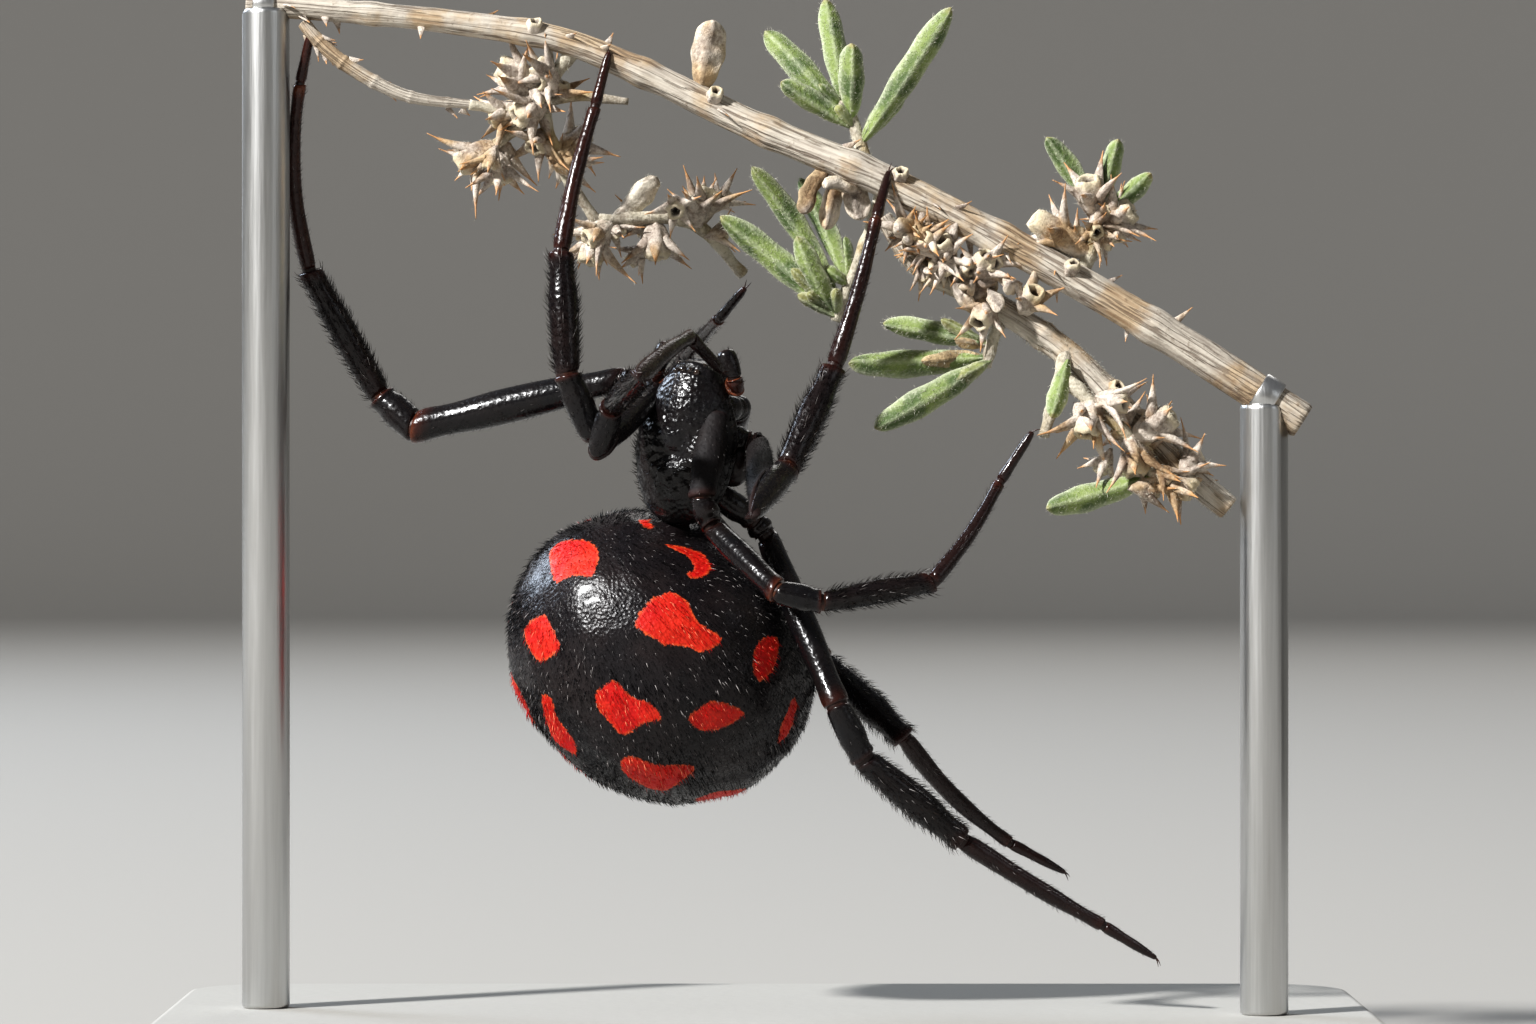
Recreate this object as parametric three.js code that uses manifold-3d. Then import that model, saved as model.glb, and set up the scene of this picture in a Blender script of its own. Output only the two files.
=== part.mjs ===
// Female black widow spider of the Mediterranean kind, a still life-size display model.
// It hangs from a cut length of dry shrub twig, which a flat base and two rods hold up.
// Millimetres, +Z up. The origin is the middle of the base's underside.
// The spider hangs head up with its back to -Y and its right side to +X.

import * as THREE from 'three';
import { mergeVertices } from 'three/addons/utils/BufferGeometryUtils.js';
import Module from 'manifold-3d';

const wasm = await Module();
wasm.setup();

// Driving dimensions of the body
const TOUCH_GAP = 0.07;
const PROSOMA_CENTRE = new THREE.Vector3(-2.5, -0.8, 20.2);
const PROSOMA_HALF_LENGTH = 2.6;
const THORAX_HALF_WIDTH = 1.75;
const HEAD_HALF_WIDTH = 1.38;
const THORAX_HEIGHT = 1.0;
const HEAD_HEIGHT = 1.12;
const STERNUM_DEPTH = 0.85;
const BACK_TURN = 30;
const HEAD_LEAN = 7.8;
const ABDOMEN_CENTRE = new THREE.Vector3(-3.37, 1.1, 13.47);
const ABDOMEN_HALF_WIDTH = 4.42;
const ABDOMEN_HALF_DEPTH = 4.55;
const ABDOMEN_HALF_LENGTH = 5.08;
const ABDOMEN_TILT = -55.4;
const PEDICEL_RADIUS = 0.42;
const EYE_RADIUS = 0.11;
const SPINNERET_AIM = new THREE.Vector3(0.42, 0.5, -0.757);
const SPINNERET_FOOT = 4.3;
const SPINNERET_SPREAD = 0.3;
const SPINNERET_LENGTH = 0.85;

// Places on the body are [to the right, forwards, up] from the middle of the head shield.
// The two rows of four eyes have a spread between neighbours.
const EYE_ROWS = [{ forward: 2.18, dorsal: 0.62, spread: 0.24 }, { forward: 2.4, dorsal: 0.34, spread: 0.3 }];
const JAW_ROUTE = [[0.43, 2.05, -0.15], [0.36, 2.35, -1.75]];
const JAW_RADII = [0.38, 0.37, 0.24];
const PALP_ROUTE = [[0.9, 1.85, -0.45], [1.4, 1.85, -0.1], [1.4, 2.15, 0.1], [1.02, 2.95, 0.25]];
const PALP_RADII = [[0.26, 0.28, 0.26], [0.25, 0.27, 0.25], [0.27, 0.31, 0.22]];
const PALP_LAP = 0.16;

// Leg lengths by pair, front to back, as in a large female
const LEG_LENGTHS = {
  1: { femur: 6.95, patella: 1.6, tibia: 4.6, metatarsus: 5.95, tarsus: 1.75 },
  2: { femur: 4.9, patella: 1.85, tibia: 3.85, metatarsus: 4.85, tarsus: 1.8 },
  3: { femur: 3.6, patella: 1.38, tibia: 3.5, metatarsus: 4.1, tarsus: 1.85 },
  4: { femur: 6.3, patella: 1.86, tibia: 4.2, metatarsus: 5.25, tarsus: 2.0 },
};

// Half thicknesses by pair: at the root, the middle and the end of each segment
const LEG_RADII = {
  1: { femur: [0.42, 0.57, 0.5], patella: [0.5, 0.52, 0.45], tibia: [0.4, 0.44, 0.38],
    metatarsus: [0.27, 0.24, 0.2], tarsus: [0.18, 0.14, 0.06] },
  2: { femur: [0.38, 0.45, 0.43], patella: [0.44, 0.47, 0.42], tibia: [0.42, 0.47, 0.39],
    metatarsus: [0.29, 0.24, 0.2], tarsus: [0.18, 0.14, 0.06] },
  3: { femur: [0.36, 0.41, 0.39], patella: [0.38, 0.41, 0.36], tibia: [0.33, 0.39, 0.34],
    metatarsus: [0.26, 0.22, 0.19], tarsus: [0.18, 0.14, 0.06] },
  4: { femur: [0.39, 0.46, 0.41], patella: [0.41, 0.45, 0.41], tibia: [0.41, 0.5, 0.4],
    metatarsus: [0.31, 0.27, 0.21], tarsus: [0.19, 0.15, 0.06] },
};

// Where each coxa leaves the body, where its femur starts, and the heading (degrees round Z
// from +X) and rise (degrees over the level) of each segment in the hanging pose
const LEG_POSES = {
  left_1: { pair: 1, coxa: [-3.13, 0.4, 21.63], hip: [-4.59, 1.3, 22.18],
    femur: [166.4, -12.4], patella: [155.4, 38.3], tibia: [-163.2, 59.9],
    metatarsus: [-101.3, 79.7], tarsus: [-52.6, 68.9], bow: [-0.35, 0, 0] },
  left_2: { pair: 2, coxa: [-3.2, 1.05, 20.73], hip: [-3.36, 3.0, 21.39],
    femur: [-116.6, -9.2], patella: [-151.3, 64.4], tibia: [109.9, 81],
    metatarsus: [49.9, 70.9], tarsus: [26, 74.5], bow: [-0.1, 0, 0] },
  left_3: { pair: 3, coxa: [-3.51, 0.6, 20.07], hip: [-3.53, -0.35, 21.62],
    femur: [-119.8, -25.6], patella: [-59.4, 59.1], tibia: [-74.2, 14.1],
    metatarsus: [67.9, 18.1], tarsus: [49.4, -34.4], bow: [0, 0, 0.1] },
  left_4: { pair: 4, coxa: [-3.14, 1.0, 18.75], hip: [-3.05, 3.1, 19.08],
    femur: [32.3, -46.2], patella: [-36.5, -43.2], tibia: [-40.2, -35.6],
    metatarsus: [31.8, -40.3], tarsus: [-4.4, -28], bow: [-0.15, 0, -0.15] },
  right_1: { pair: 1, coxa: [-1.09, -0.5, 21.24], hip: [-0.91, 0.8, 21.26],
    femur: [98.3, -25.9], patella: [107, 30.6], tibia: [106.5, 51],
    metatarsus: [-75.2, 15.4], tarsus: [-55.1, 33], bow: [0, 0, 0.1] },
  right_2: { pair: 2, coxa: [-0.93, -1.0, 20.33], hip: [-0.34, -0.9, 20.08],
    femur: [-88, -19.4], patella: [62.5, 26.7], tibia: [47.5, 55.9],
    metatarsus: [25.7, 72.6], tarsus: [64.9, 56.6], bow: [0.08, 0, 0] },
  right_3: { pair: 3, coxa: [-1.14, -2.0, 21.09], knob: [-2.05, -2.65, 18.45],
    hip: [-1.73, -2.5, 17.54], femur: [-47.5, -33.3], patella: [-0.7, -12.8],
    tibia: [11.8, 9.9], metatarsus: [38, 48.5], tarsus: [-3.5, 57.1], bow: [0.1, 0, -0.1] },
  right_4: { pair: 4, coxa: [-1.12, -0.9, 18.47], hip: [-0.06, -0.1, 17.28],
    femur: [-51.5, -56.1], patella: [18.8, -62.6], tibia: [20.9, -38.1],
    metatarsus: [11.2, -30.9], tarsus: [10, -31.5], bow: [0.1, 0, -0.12] },
};
const COXA_RADIUS = 0.42;
const LEG_SIDES = 8;

// Driving dimensions of the stand and the perch
const BASE_SIZE = [38, 24, 2.4];
const BASE_CORNER = 3;
const BASE_BEVEL = 0.3;
const ROD_RADIUS = 0.75;
const ROD_TOPS = { left: [-15.8, 1.4, 33.95], right: [15.4, -1.35, 21.6] };
const STEM_SIDES = 9;

// The perch's stems: each stem's bends from its root to its tip, and its half thickness there
const STEM_ROUTE = [[-16.4, 1.4, 34], [-13.8, 1.3, 33.8], [-10, 1.1, 33.4], [-6.5, 0.9, 32.8],
  [-4, 0.6, 31.8], [-0.3, 0.1, 30], [3.5, -0.5, 28.4], [7.2, -0.9, 26.5], [11.9, -1.2, 23.8],
  [16.6, -1.4, 20.8]];
const STEM_RADII = [0.38, 0.4, 0.42, 0.45, 0.48, 0.52, 0.55, 0.56, 0.58, 0.6];
const LEFT_TWIG_ROUTE = [[-14.6, 1.3, 33.4], [-14.2, 1.2, 32.9], [-13.3, 1.2, 32.1],
  [-11.4, 1.2, 31.1], [-9.2, 1.3, 30.8]];
const LEFT_TWIG_RADII = [0.24, 0.26, 0.26, 0.22, 0.16];
const LOWER_BRANCH_ROUTE = [[3.6, -0.3, 27.2], [4.6, -0.4, 25.8], [6.8, -0.6, 24.6],
  [9.2, -1, 23], [11.2, -1.2, 21], [13.1, -1.3, 19.1], [14.3, -1.3, 18.1]];
const LOWER_BRANCH_RADII = [0.3, 0.38, 0.42, 0.46, 0.48, 0.46, 0.42];

// Leafy shoots: the stalk's bends, and each leaf as its foot, its tip and its half width
const LEAFY_SHOOTS = {
  perch_leaves_top: {
    stalk: [[3.15, -0.45, 28.6], [2.9, -0.2, 29.4], [2.6, 0, 30.4]],
    leaves: [[[2.6, 0, 30.1], [-0.1, 1, 33.1], 0.4], [[2.5, 0.1, 30.3], [1.8, 0.8, 34.1], 0.36],
      [[2.6, 0, 30.2], [2.6, -0.6, 32.6], 0.38], [[2.9, -0.2, 29.5], [5.7, -0.8, 33.7], 0.4],
      [[2.7, 0, 30], [0.4, -0.6, 31.4], 0.33]],
  },
  perch_leaves_middle: {
    stalk: [[3.6, -0.3, 28.2], [3.2, 0.1, 26.8], [2.1, 0.6, 24]],
    leaves: [[[2.3, 0.6, 24.1], [-1.5, 1.2, 27.3], 0.42], [[2.2, 0.5, 24.6], [-0.5, 0.2, 28.8], 0.36],
      [[2.5, 0.4, 25.1], [1, 1.2, 28.5], 0.34], [[2.2, 0.6, 24.2], [0.9, -0.2, 26.6], 0.34]],
  },
  perch_leaves_lower: {
    stalk: [[7.4, -0.6, 24.4], [7, -0.8, 23.4], [6.8, -0.9, 22.5]],
    leaves: [[[6.9, -0.8, 22.8], [2.5, -1.2, 22.6], 0.42], [[6.9, -0.9, 22.7], [3.3, -1.8, 20.6], 0.42],
      [[6.9, -0.8, 23.2], [3.6, 0, 23.9], 0.34]],
  },
};

// Sprays of dry spiny cups: each spray's stems, and each cup as its foot and its mouth
const DRY_SPRAYS = {
  perch_bracts_left: {
    stems: [[[-6.1, 0.9, 32.6], [-7, 1.6, 31], [-6.6, 2, 29.1], [-5.3, 2.5, 27]],
      [[-5.4, 2.5, 27.2], [-2.5, 3.1, 27.2], [-0.8, 4.2, 25.6]], [[-7, 1.6, 30.8], [-8.6, 1.9, 29.6]]],
    cups: [[[-8.6, 1.9, 29.6], [-9.8, 2, 28.9]], [[-7, 1.6, 30.9], [-8, 1.1, 30.4]],
      [[-7, 1.5, 31.3], [-8.5, 1.7, 32.1]], [[-6.5, 2, 29.3], [-5.8, 2.8, 30]],
      [[-5.3, 2.5, 27.1], [-5.7, 2.2, 25.8]], [[-3.6, 2.9, 27.2], [-3.5, 2.7, 26]],
      [[-2.3, 3.2, 27.1], [-1.8, 3.1, 28.3]]],
    leaves: [[[-5, 2.6, 27.1], [-3.5, 2.6, 28.6], 0.36]],
  },
  perch_bracts_right: {
    stems: [[[9.6, -1, 24.9], [10.1, -0.8, 26.4], [10.3, -0.7, 27.6]]],
    cups: [[[10, -0.8, 26], [8.2, -1.1, 27.2]], [[10.2, -0.8, 26.8], [11.4, -1.2, 27.4]],
      [[10.2, -0.7, 27.2], [9.9, -1.4, 28.4]]],
    leaves: [[[10.2, -0.7, 27.2], [8.7, -0.2, 29.7], 0.34], [[10.3, -0.7, 27.4], [10.9, -0.9, 29.6], 0.3],
      [[10.2, -0.8, 27], [11.9, -1.4, 28.5], 0.3]],
  },
  perch_bracts_lower: {
    stems: [[[9.3, -1.2, 23], [8.95, -1.9, 21.8], [8.52, -2.42, 20.35]],
      [[9.1, -1.7, 22.2], [10, -2.1, 21.4], [11.3, -2, 20.2], [12, -2, 19]]],
    cups: [[[11.2, -2, 20.3], [11.4, -2.3, 19.1]], [[10, -2.1, 21.4], [9.8, -2.6, 20.3]],
      [[11.9, -2, 19.2], [13.2, -2.3, 18.6]], [[11.3, -2, 20.3], [12.6, -2.3, 21]]],
    leaves: [[[12, -2, 19.1], [8.6, -2.3, 18.1], 0.4]],
  },
};
const STALK_RADIUS = 0.25;
const LEAF_THICKNESS = 0.42;
const CUP_RADIUS = 0.34;
const CUP_SPINES = 5;
const SPINE_LENGTH = 0.75;
const SPINE_RADIUS = 0.13;

const shell = new THREE.MeshStandardMaterial({ color: 0x0b0b0d, roughness: 0.25, metalness: 0 });
const abdomenSkin = new THREE.MeshStandardMaterial({ color: 0x131012, roughness: 0.4, metalness: 0 });
const limbTip = new THREE.MeshStandardMaterial({ color: 0x2a100b, roughness: 0.35, metalness: 0 });
const bark = new THREE.MeshStandardMaterial({ color: 0x9a8768, roughness: 0.85, metalness: 0 });
const leafGreen = new THREE.MeshStandardMaterial({ color: 0x7d8f4e, roughness: 0.7, metalness: 0 });
const dryBract = new THREE.MeshStandardMaterial({ color: 0xa9885c, roughness: 0.8, metalness: 0 });
const standPaint = new THREE.MeshStandardMaterial({ color: 0xd9cfbf, roughness: 0.5, metalness: 0 });
const standMetal = new THREE.MeshStandardMaterial({ color: 0xb9b9b6, roughness: 0.35, metalness: 1 });

// Solids

function toSolid(geometry) {
  const bare = geometry.clone();
  bare.deleteAttribute('normal');
  bare.deleteAttribute('uv');
  const merged = mergeVertices(bare, 1e-4);
  const vertProperties = Float32Array.from(merged.attributes.position.array);
  const triVerts = Uint32Array.from(merged.index.array);
  return new wasm.Manifold(new wasm.Mesh({ numProp: 3, vertProperties, triVerts }));
}

function toGeometry(solid) {
  const pieces = solid.decompose();
  pieces.sort((a, b) => b.volume() - a.volume());
  const mesh = pieces[0].getMesh();
  const geometry = new THREE.BufferGeometry();
  geometry.setAttribute('position', new THREE.BufferAttribute(mesh.vertProperties, 3));
  geometry.setIndex(new THREE.BufferAttribute(mesh.triVerts, 1));
  geometry.computeVertexNormals();
  return geometry;
}

function join(solids) {
  return solids.reduce((whole, next) => whole.add(next));
}

function named(name, solid, material) {
  const mesh = new THREE.Mesh(toGeometry(solid), material);
  mesh.name = name;
  return mesh;
}

// A round solid along +Y from y = 0: profile points are [distance along, radius]
function turned(profile, sides) {
  const points = profile.map(([along, radius]) => new THREE.Vector2(radius, along));
  return new THREE.LatheGeometry(points, sides);
}

function laidAlong(geometry, start, direction) {
  const turn = new THREE.Quaternion().setFromUnitVectors(new THREE.Vector3(0, 1, 0), direction);
  return geometry.applyQuaternion(turn).translate(start.x, start.y, start.z);
}

// A tapered tube along a smooth curve through points, closed at both ends
function taperedTube(points, radii, sides, steps) {
  const curve = new THREE.CatmullRomCurve3(points.map((p) => new THREE.Vector3(...p)));
  const frames = curve.computeFrenetFrames(steps, false);
  const positions = [];
  const faces = [];
  for (let i = 0; i <= steps; i += 1) {
    const along = i / steps;
    const place = (radii.length - 1) * along;
    const before = Math.min(Math.floor(place), radii.length - 2);
    const radius = THREE.MathUtils.lerp(radii[before], radii[before + 1], place - before);
    const centre = curve.getPoint(along);
    for (let k = 0; k < sides; k += 1) {
      const angle = (2 * Math.PI * k) / sides;
      const corner = centre.clone()
        .addScaledVector(frames.normals[i], radius * Math.cos(angle))
        .addScaledVector(frames.binormals[i], radius * Math.sin(angle));
      positions.push(corner.x, corner.y, corner.z);
    }
  }
  for (let i = 0; i < steps; i += 1) {
    for (let k = 0; k < sides; k += 1) {
      const a = i * sides + k;
      const b = i * sides + ((k + 1) % sides);
      faces.push(a, b, a + sides, b, b + sides, a + sides);
    }
  }
  for (let k = 1; k < sides - 1; k += 1) {
    const last = steps * sides;
    faces.push(0, k + 1, k, last, last + k, last + k + 1);
  }
  const geometry = new THREE.BufferGeometry();
  geometry.setAttribute('position', new THREE.Float32BufferAttribute(positions, 3));
  geometry.setIndex(faces);
  return geometry;
}

// Body

const lean = THREE.MathUtils.degToRad(HEAD_LEAN);
const turn = THREE.MathUtils.degToRad(BACK_TURN);
const FORWARD = new THREE.Vector3(Math.sin(lean), 0, Math.cos(lean));
const BACK = new THREE.Vector3(-Math.sin(turn), -Math.cos(turn), 0);
const RIGHT = new THREE.Vector3().crossVectors(FORWARD, BACK).normalize();
const DORSAL = new THREE.Vector3().crossVectors(RIGHT, FORWARD).normalize();

function bodyPoint(right, forward, dorsal) {
  return PROSOMA_CENTRE.clone()
    .addScaledVector(RIGHT, right)
    .addScaledVector(FORWARD, forward)
    .addScaledVector(DORSAL, dorsal);
}

// Head shield and sternum: wide and domed over the legs, narrow and higher at the head
function prosomaSolid(grow = 0) {
  const ball = new THREE.SphereGeometry(1, 24, 18);
  const spot = ball.attributes.position;
  for (let i = 0; i < spot.count; i += 1) {
    const along = spot.getY(i);
    const ring = Math.sqrt(Math.max(0, 1 - along * along));
    const around = Math.atan2(spot.getZ(i), spot.getX(i));
    const headward = THREE.MathUtils.smoothstep(along, 0.05, 0.75);
    const fullness = Math.pow(ring, 0.8);
    const swell = grow * Math.min(1, 4 * ring);
    const width = THREE.MathUtils.lerp(THORAX_HALF_WIDTH, HEAD_HALF_WIDTH, headward);
    const dome = Math.sin(around) > 0
      ? THREE.MathUtils.lerp(THORAX_HEIGHT, HEAD_HEIGHT, headward) : STERNUM_DEPTH;
    const corner = bodyPoint(
      (width * fullness + swell) * Math.cos(around),
      (PROSOMA_HALF_LENGTH + grow) * along,
      (dome * fullness + swell) * Math.sin(around),
    );
    spot.setXYZ(i, corner.x, corner.y, corner.z);
  }
  return toSolid(ball);
}

// Nearly a globe, a little longer than wide, its long axis tilted in the plane of the back
function abdomenSolid(grow = 0) {
  const ball = new THREE.SphereGeometry(1, 30, 22);
  ball.scale(ABDOMEN_HALF_WIDTH + grow, ABDOMEN_HALF_LENGTH + grow, ABDOMEN_HALF_DEPTH + grow);
  ball.rotateX(Math.PI / 2).rotateY(THREE.MathUtils.degToRad(ABDOMEN_TILT));
  ball.translate(ABDOMEN_CENTRE.x, ABDOMEN_CENTRE.y, ABDOMEN_CENTRE.z);
  return toSolid(ball);
}

// Smooth convex piece between two points, thickest in the middle
function podSolid(start, end, radii, sides) {
  const length = start.distanceTo(end);
  const direction = end.clone().sub(start).normalize();
  const [first, middle, last] = radii;
  const profile = [[0, 0], [0.06, first * 0.7], [0.2, first], [0.5, middle], [0.8, last],
    [0.94, last * 0.7], [1, 0]];
  const scaled = profile.map(([along, radius]) => [along * length, radius]);
  return toSolid(laidAlong(turned(scaled, sides), start, direction));
}

function eyes() {
  const balls = [];
  for (const row of EYE_ROWS) {
    for (const step of [-1.5, -0.5, 0.5, 1.5]) {
      const centre = bodyPoint(step * row.spread, row.forward - Math.abs(step) * 0.05, row.dorsal);
      const ball = new THREE.SphereGeometry(EYE_RADIUS, 6, 5).translate(centre.x, centre.y, centre.z);
      balls.push(toSolid(ball));
    }
  }
  return join(balls);
}

function buildProsoma() {
  const solid = prosomaSolid().add(eyes()).subtract(abdomenSolid(TOUCH_GAP));
  return named('prosoma', solid, shell);
}

function buildAbdomen() {
  return named('abdomen', abdomenSolid(), abdomenSkin);
}

function buildPedicel() {
  const start = bodyPoint(0, -1.6, -0.35);
  const end = ABDOMEN_CENTRE.clone().add(new THREE.Vector3(0.4, 0.2, 3.9));
  const direction = end.clone().sub(start);
  const stalk = new THREE.CylinderGeometry(PEDICEL_RADIUS, PEDICEL_RADIUS, direction.length(), 14);
  stalk.translate(0, direction.length() / 2, 0);
  const solid = toSolid(laidAlong(stalk, start, direction.normalize()))
    .subtract(prosomaSolid(TOUCH_GAP)).subtract(abdomenSolid(TOUCH_GAP));
  return named('pedicel', solid, shell);
}

// Six small cones on one low mound, low on the far side of the abdomen
function buildSpinnerets() {
  const out = SPINNERET_AIM.clone().normalize();
  const foot = ABDOMEN_CENTRE.clone().addScaledVector(out, SPINNERET_FOOT);
  const side = new THREE.Vector3(1, 0, 0).cross(out).normalize();
  const other = new THREE.Vector3().crossVectors(out, side);
  const mound = podSolid(foot, foot.clone().addScaledVector(out, 0.95), [0.8, 0.78, 0.55], 10);
  const cones = [];
  for (let k = 0; k < 6; k += 1) {
    const angle = (2 * Math.PI * (k + 0.5)) / 6;
    const outward = side.clone().multiplyScalar(Math.cos(angle)).addScaledVector(other, Math.sin(angle));
    const aim = out.clone().addScaledVector(outward, 0.28).normalize();
    const start = foot.clone().addScaledVector(out, 0.45).addScaledVector(outward, SPINNERET_SPREAD);
    const end = start.clone().addScaledVector(aim, SPINNERET_LENGTH);
    cones.push(podSolid(start, end, [0.24, 0.2, 0.12], 5));
  }
  return named('spinnerets', join([mound, ...cones]).subtract(abdomenSolid(TOUCH_GAP)), shell);
}

function buildChelicera(side, sign) {
  const [start, end] = JAW_ROUTE.map(([right, ...rest]) => bodyPoint(sign * right, ...rest));
  const solid = podSolid(start, end, JAW_RADII, 12).subtract(prosomaSolid(TOUCH_GAP));
  return named(`chelicera_${side}`, solid, shell);
}

// A feeler of three lengths, bent forwards beside the jaws, with a hairy end knob
function buildPalp(side, sign) {
  const bends = PALP_ROUTE.map(([right, ...rest]) => bodyPoint(sign * right, ...rest));
  const pods = PALP_RADII.map((radii, k) => {
    const direction = bends[k + 1].clone().sub(bends[k]).normalize();
    const start = bends[k].clone().addScaledVector(direction, -PALP_LAP);
    const end = bends[k + 1].clone().addScaledVector(direction, PALP_LAP);
    return podSolid(start, end, radii, 8);
  });
  return named(`palp_${side}`, join(pods).subtract(prosomaSolid(TOUCH_GAP)), shell);
}

// Legs

function heading([yaw, pitch]) {
  const round = THREE.MathUtils.degToRad(yaw);
  const rise = THREE.MathUtils.degToRad(pitch);
  return new THREE.Vector3(
    Math.cos(rise) * Math.cos(round), Math.cos(rise) * Math.sin(round), Math.sin(rise),
  );
}

// Keeps the side of a plane through a joint that the normal points to, short of half the gap
function mitred(solid, joint, normal) {
  return solid.trimByPlane(normal.toArray(), normal.dot(joint) + TOUCH_GAP / 2);
}

// One leg segment between two joints. Its rounded ends run past the joints before they are
// mitred, so that two neighbours meet face to face.
function segmentSolid(start, end, radii, bow, tip) {
  const length = start.distanceTo(end);
  const direction = end.clone().sub(start).normalize();
  const [first, middle, last] = radii;
  const over = tip ? 0 : last * 0.8;
  const profile = [[-first * 0.8, 0], [-first * 0.6, first * 0.7], [length * 0.06, first],
    [length * 0.32, (first + middle * 3) / 4], [length * 0.6, middle], [length * 0.93, last]];
  if (tip) {
    profile.push([length, 0]);
  } else {
    profile.push([length + over * 0.75, last * 0.7], [length + over, 0]);
  }
  const geometry = laidAlong(turned(profile, LEG_SIDES), start, direction);
  const spot = geometry.attributes.position;
  for (let i = 0; i < spot.count; i += 1) {
    const along = new THREE.Vector3().fromBufferAttribute(spot, i).sub(start).dot(direction) / length;
    const lift = Math.sin(Math.PI * THREE.MathUtils.clamp(along, 0, 1));
    spot.setXYZ(i, spot.getX(i) + bow.x * lift, spot.getY(i) + bow.y * lift, spot.getZ(i) + bow.z * lift);
  }
  return toSolid(geometry);
}

function jointNormal(before, after) {
  return before.clone().add(after).normalize();
}

function buildCoxa(name, pose, legStart) {
  const root = new THREE.Vector3(...pose.coxa);
  const knob = pose.knob ? new THREE.Vector3(...pose.knob) : root.clone().lerp(legStart, 0.62);
  const limb = podSolid(root.clone().lerp(knob, -0.12), root.clone().lerp(knob, 1.15),
    [COXA_RADIUS, COXA_RADIUS, COXA_RADIUS * 0.9], 9);
  const inward = legStart.clone().sub(knob).normalize();
  const ringEnd = legStart.clone().addScaledVector(inward, 0.3);
  const ring = podSolid(knob.clone().addScaledVector(inward, -0.2), ringEnd,
    [COXA_RADIUS * 0.86, COXA_RADIUS * 0.92, COXA_RADIUS * 0.86], 9);
  const normal = jointNormal(inward, heading(pose.femur)).negate();
  const solid = mitred(limb.add(ring), legStart, normal)
    .subtract(prosomaSolid(TOUCH_GAP)).subtract(abdomenSolid(TOUCH_GAP));
  return { mesh: named(`leg_${name}_coxa`, solid, shell), inward };
}

function buildLeg(name, pose) {
  const lengths = LEG_LENGTHS[pose.pair];
  const radii = LEG_RADII[pose.pair];
  const hip = new THREE.Vector3(...pose.hip);
  const coxa = buildCoxa(name, pose, hip);
  const meshes = [coxa.mesh];
  const straight = new THREE.Vector3();
  const segments = ['femur', 'patella', 'tibia', 'metatarsus', 'tarsus'];
  const joints = [hip];
  for (const part of segments) {
    const reach = heading(pose[part]).multiplyScalar(lengths[part]);
    joints.push(joints[joints.length - 1].clone().add(reach));
  }
  let before = coxa.inward;
  segments.slice(0, 3).forEach((part, k) => {
    const direction = heading(pose[part]);
    let solid = segmentSolid(joints[k], joints[k + 1], radii[part], straight, false);
    solid = mitred(solid, joints[k], jointNormal(before, direction));
    const after = jointNormal(direction, heading(pose[segments[k + 1]])).negate();
    solid = mitred(solid, joints[k + 1], after);
    if (part === 'femur') {
      solid = solid.subtract(prosomaSolid(TOUCH_GAP)).subtract(abdomenSolid(TOUCH_GAP));
    }
    meshes.push(named(`leg_${name}_${part}`, solid, shell));
    before = direction;
  });
  const bow = new THREE.Vector3(...pose.bow);
  const shin = segmentSolid(joints[3], joints[4], radii.metatarsus, bow, false);
  const foot = segmentSolid(joints[4], joints[5], radii.tarsus, straight, true);
  const tip = mitred(shin.add(foot), joints[3], jointNormal(before, heading(pose.metatarsus)))
    .subtract(grippedWood);
  meshes.push(named(`leg_${name}_metatarsus`, tip, limbTip));
  return meshes;
}

// Perch

function stemSolid(grow = 0) {
  return toSolid(taperedTube(STEM_ROUTE, STEM_RADII.map((r) => r + grow), STEM_SIDES, 30));
}

function lowerBranchSolid(grow = 0) {
  return toSolid(taperedTube(LOWER_BRANCH_ROUTE, LOWER_BRANCH_RADII.map((r) => r + grow), 9, 16));
}

// A lance-shaped leaf, flat and thickest in the middle
function leafSolid(foot, tip, halfWidth) {
  const start = new THREE.Vector3(...foot);
  const end = new THREE.Vector3(...tip);
  const length = start.distanceTo(end);
  const profile = [[0, 0], [0.05, 0.45], [0.3, 0.85], [0.6, 1], [0.85, 0.7], [1, 0]];
  const outline = profile.map(([along, width]) => [along * length, width * halfWidth]);
  const blade = turned(outline, 6).scale(1, 1, LEAF_THICKNESS / 2 / halfWidth);
  return toSolid(laidAlong(blade, start, end.clone().sub(start).normalize()));
}

// A dry cup on a short foot, with a ring of spines round its mouth that spread outwards
function cupSolid(foot, mouth) {
  const start = new THREE.Vector3(...foot);
  const end = new THREE.Vector3(...mouth);
  const out = end.clone().sub(start).normalize();
  const length = start.distanceTo(end);
  const cup = turned([[-0.1, 0], [0.05, CUP_RADIUS * 0.6], [length * 0.5, CUP_RADIUS],
    [length, 0]], 6);
  const side = new THREE.Vector3(0, 1, 0.01).cross(out).normalize();
  const other = new THREE.Vector3().crossVectors(out, side);
  const spines = [];
  for (let k = 0; k < CUP_SPINES; k += 1) {
    const angle = (2 * Math.PI * (k + 0.3)) / CUP_SPINES;
    const outward = side.clone().multiplyScalar(Math.cos(angle)).addScaledVector(other, Math.sin(angle));
    const root = start.clone().addScaledVector(out, length * 0.6).addScaledVector(outward, CUP_RADIUS * 0.5);
    const aim = outward.multiplyScalar(0.9).addScaledVector(out, 0.75).normalize();
    const spine = turned([[0, 0], [0.02, SPINE_RADIUS], [SPINE_LENGTH, 0]], 4);
    spines.push(toSolid(laidAlong(spine, root, aim)));
  }
  return join([toSolid(laidAlong(cup, start, out)), ...spines]);
}

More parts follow.
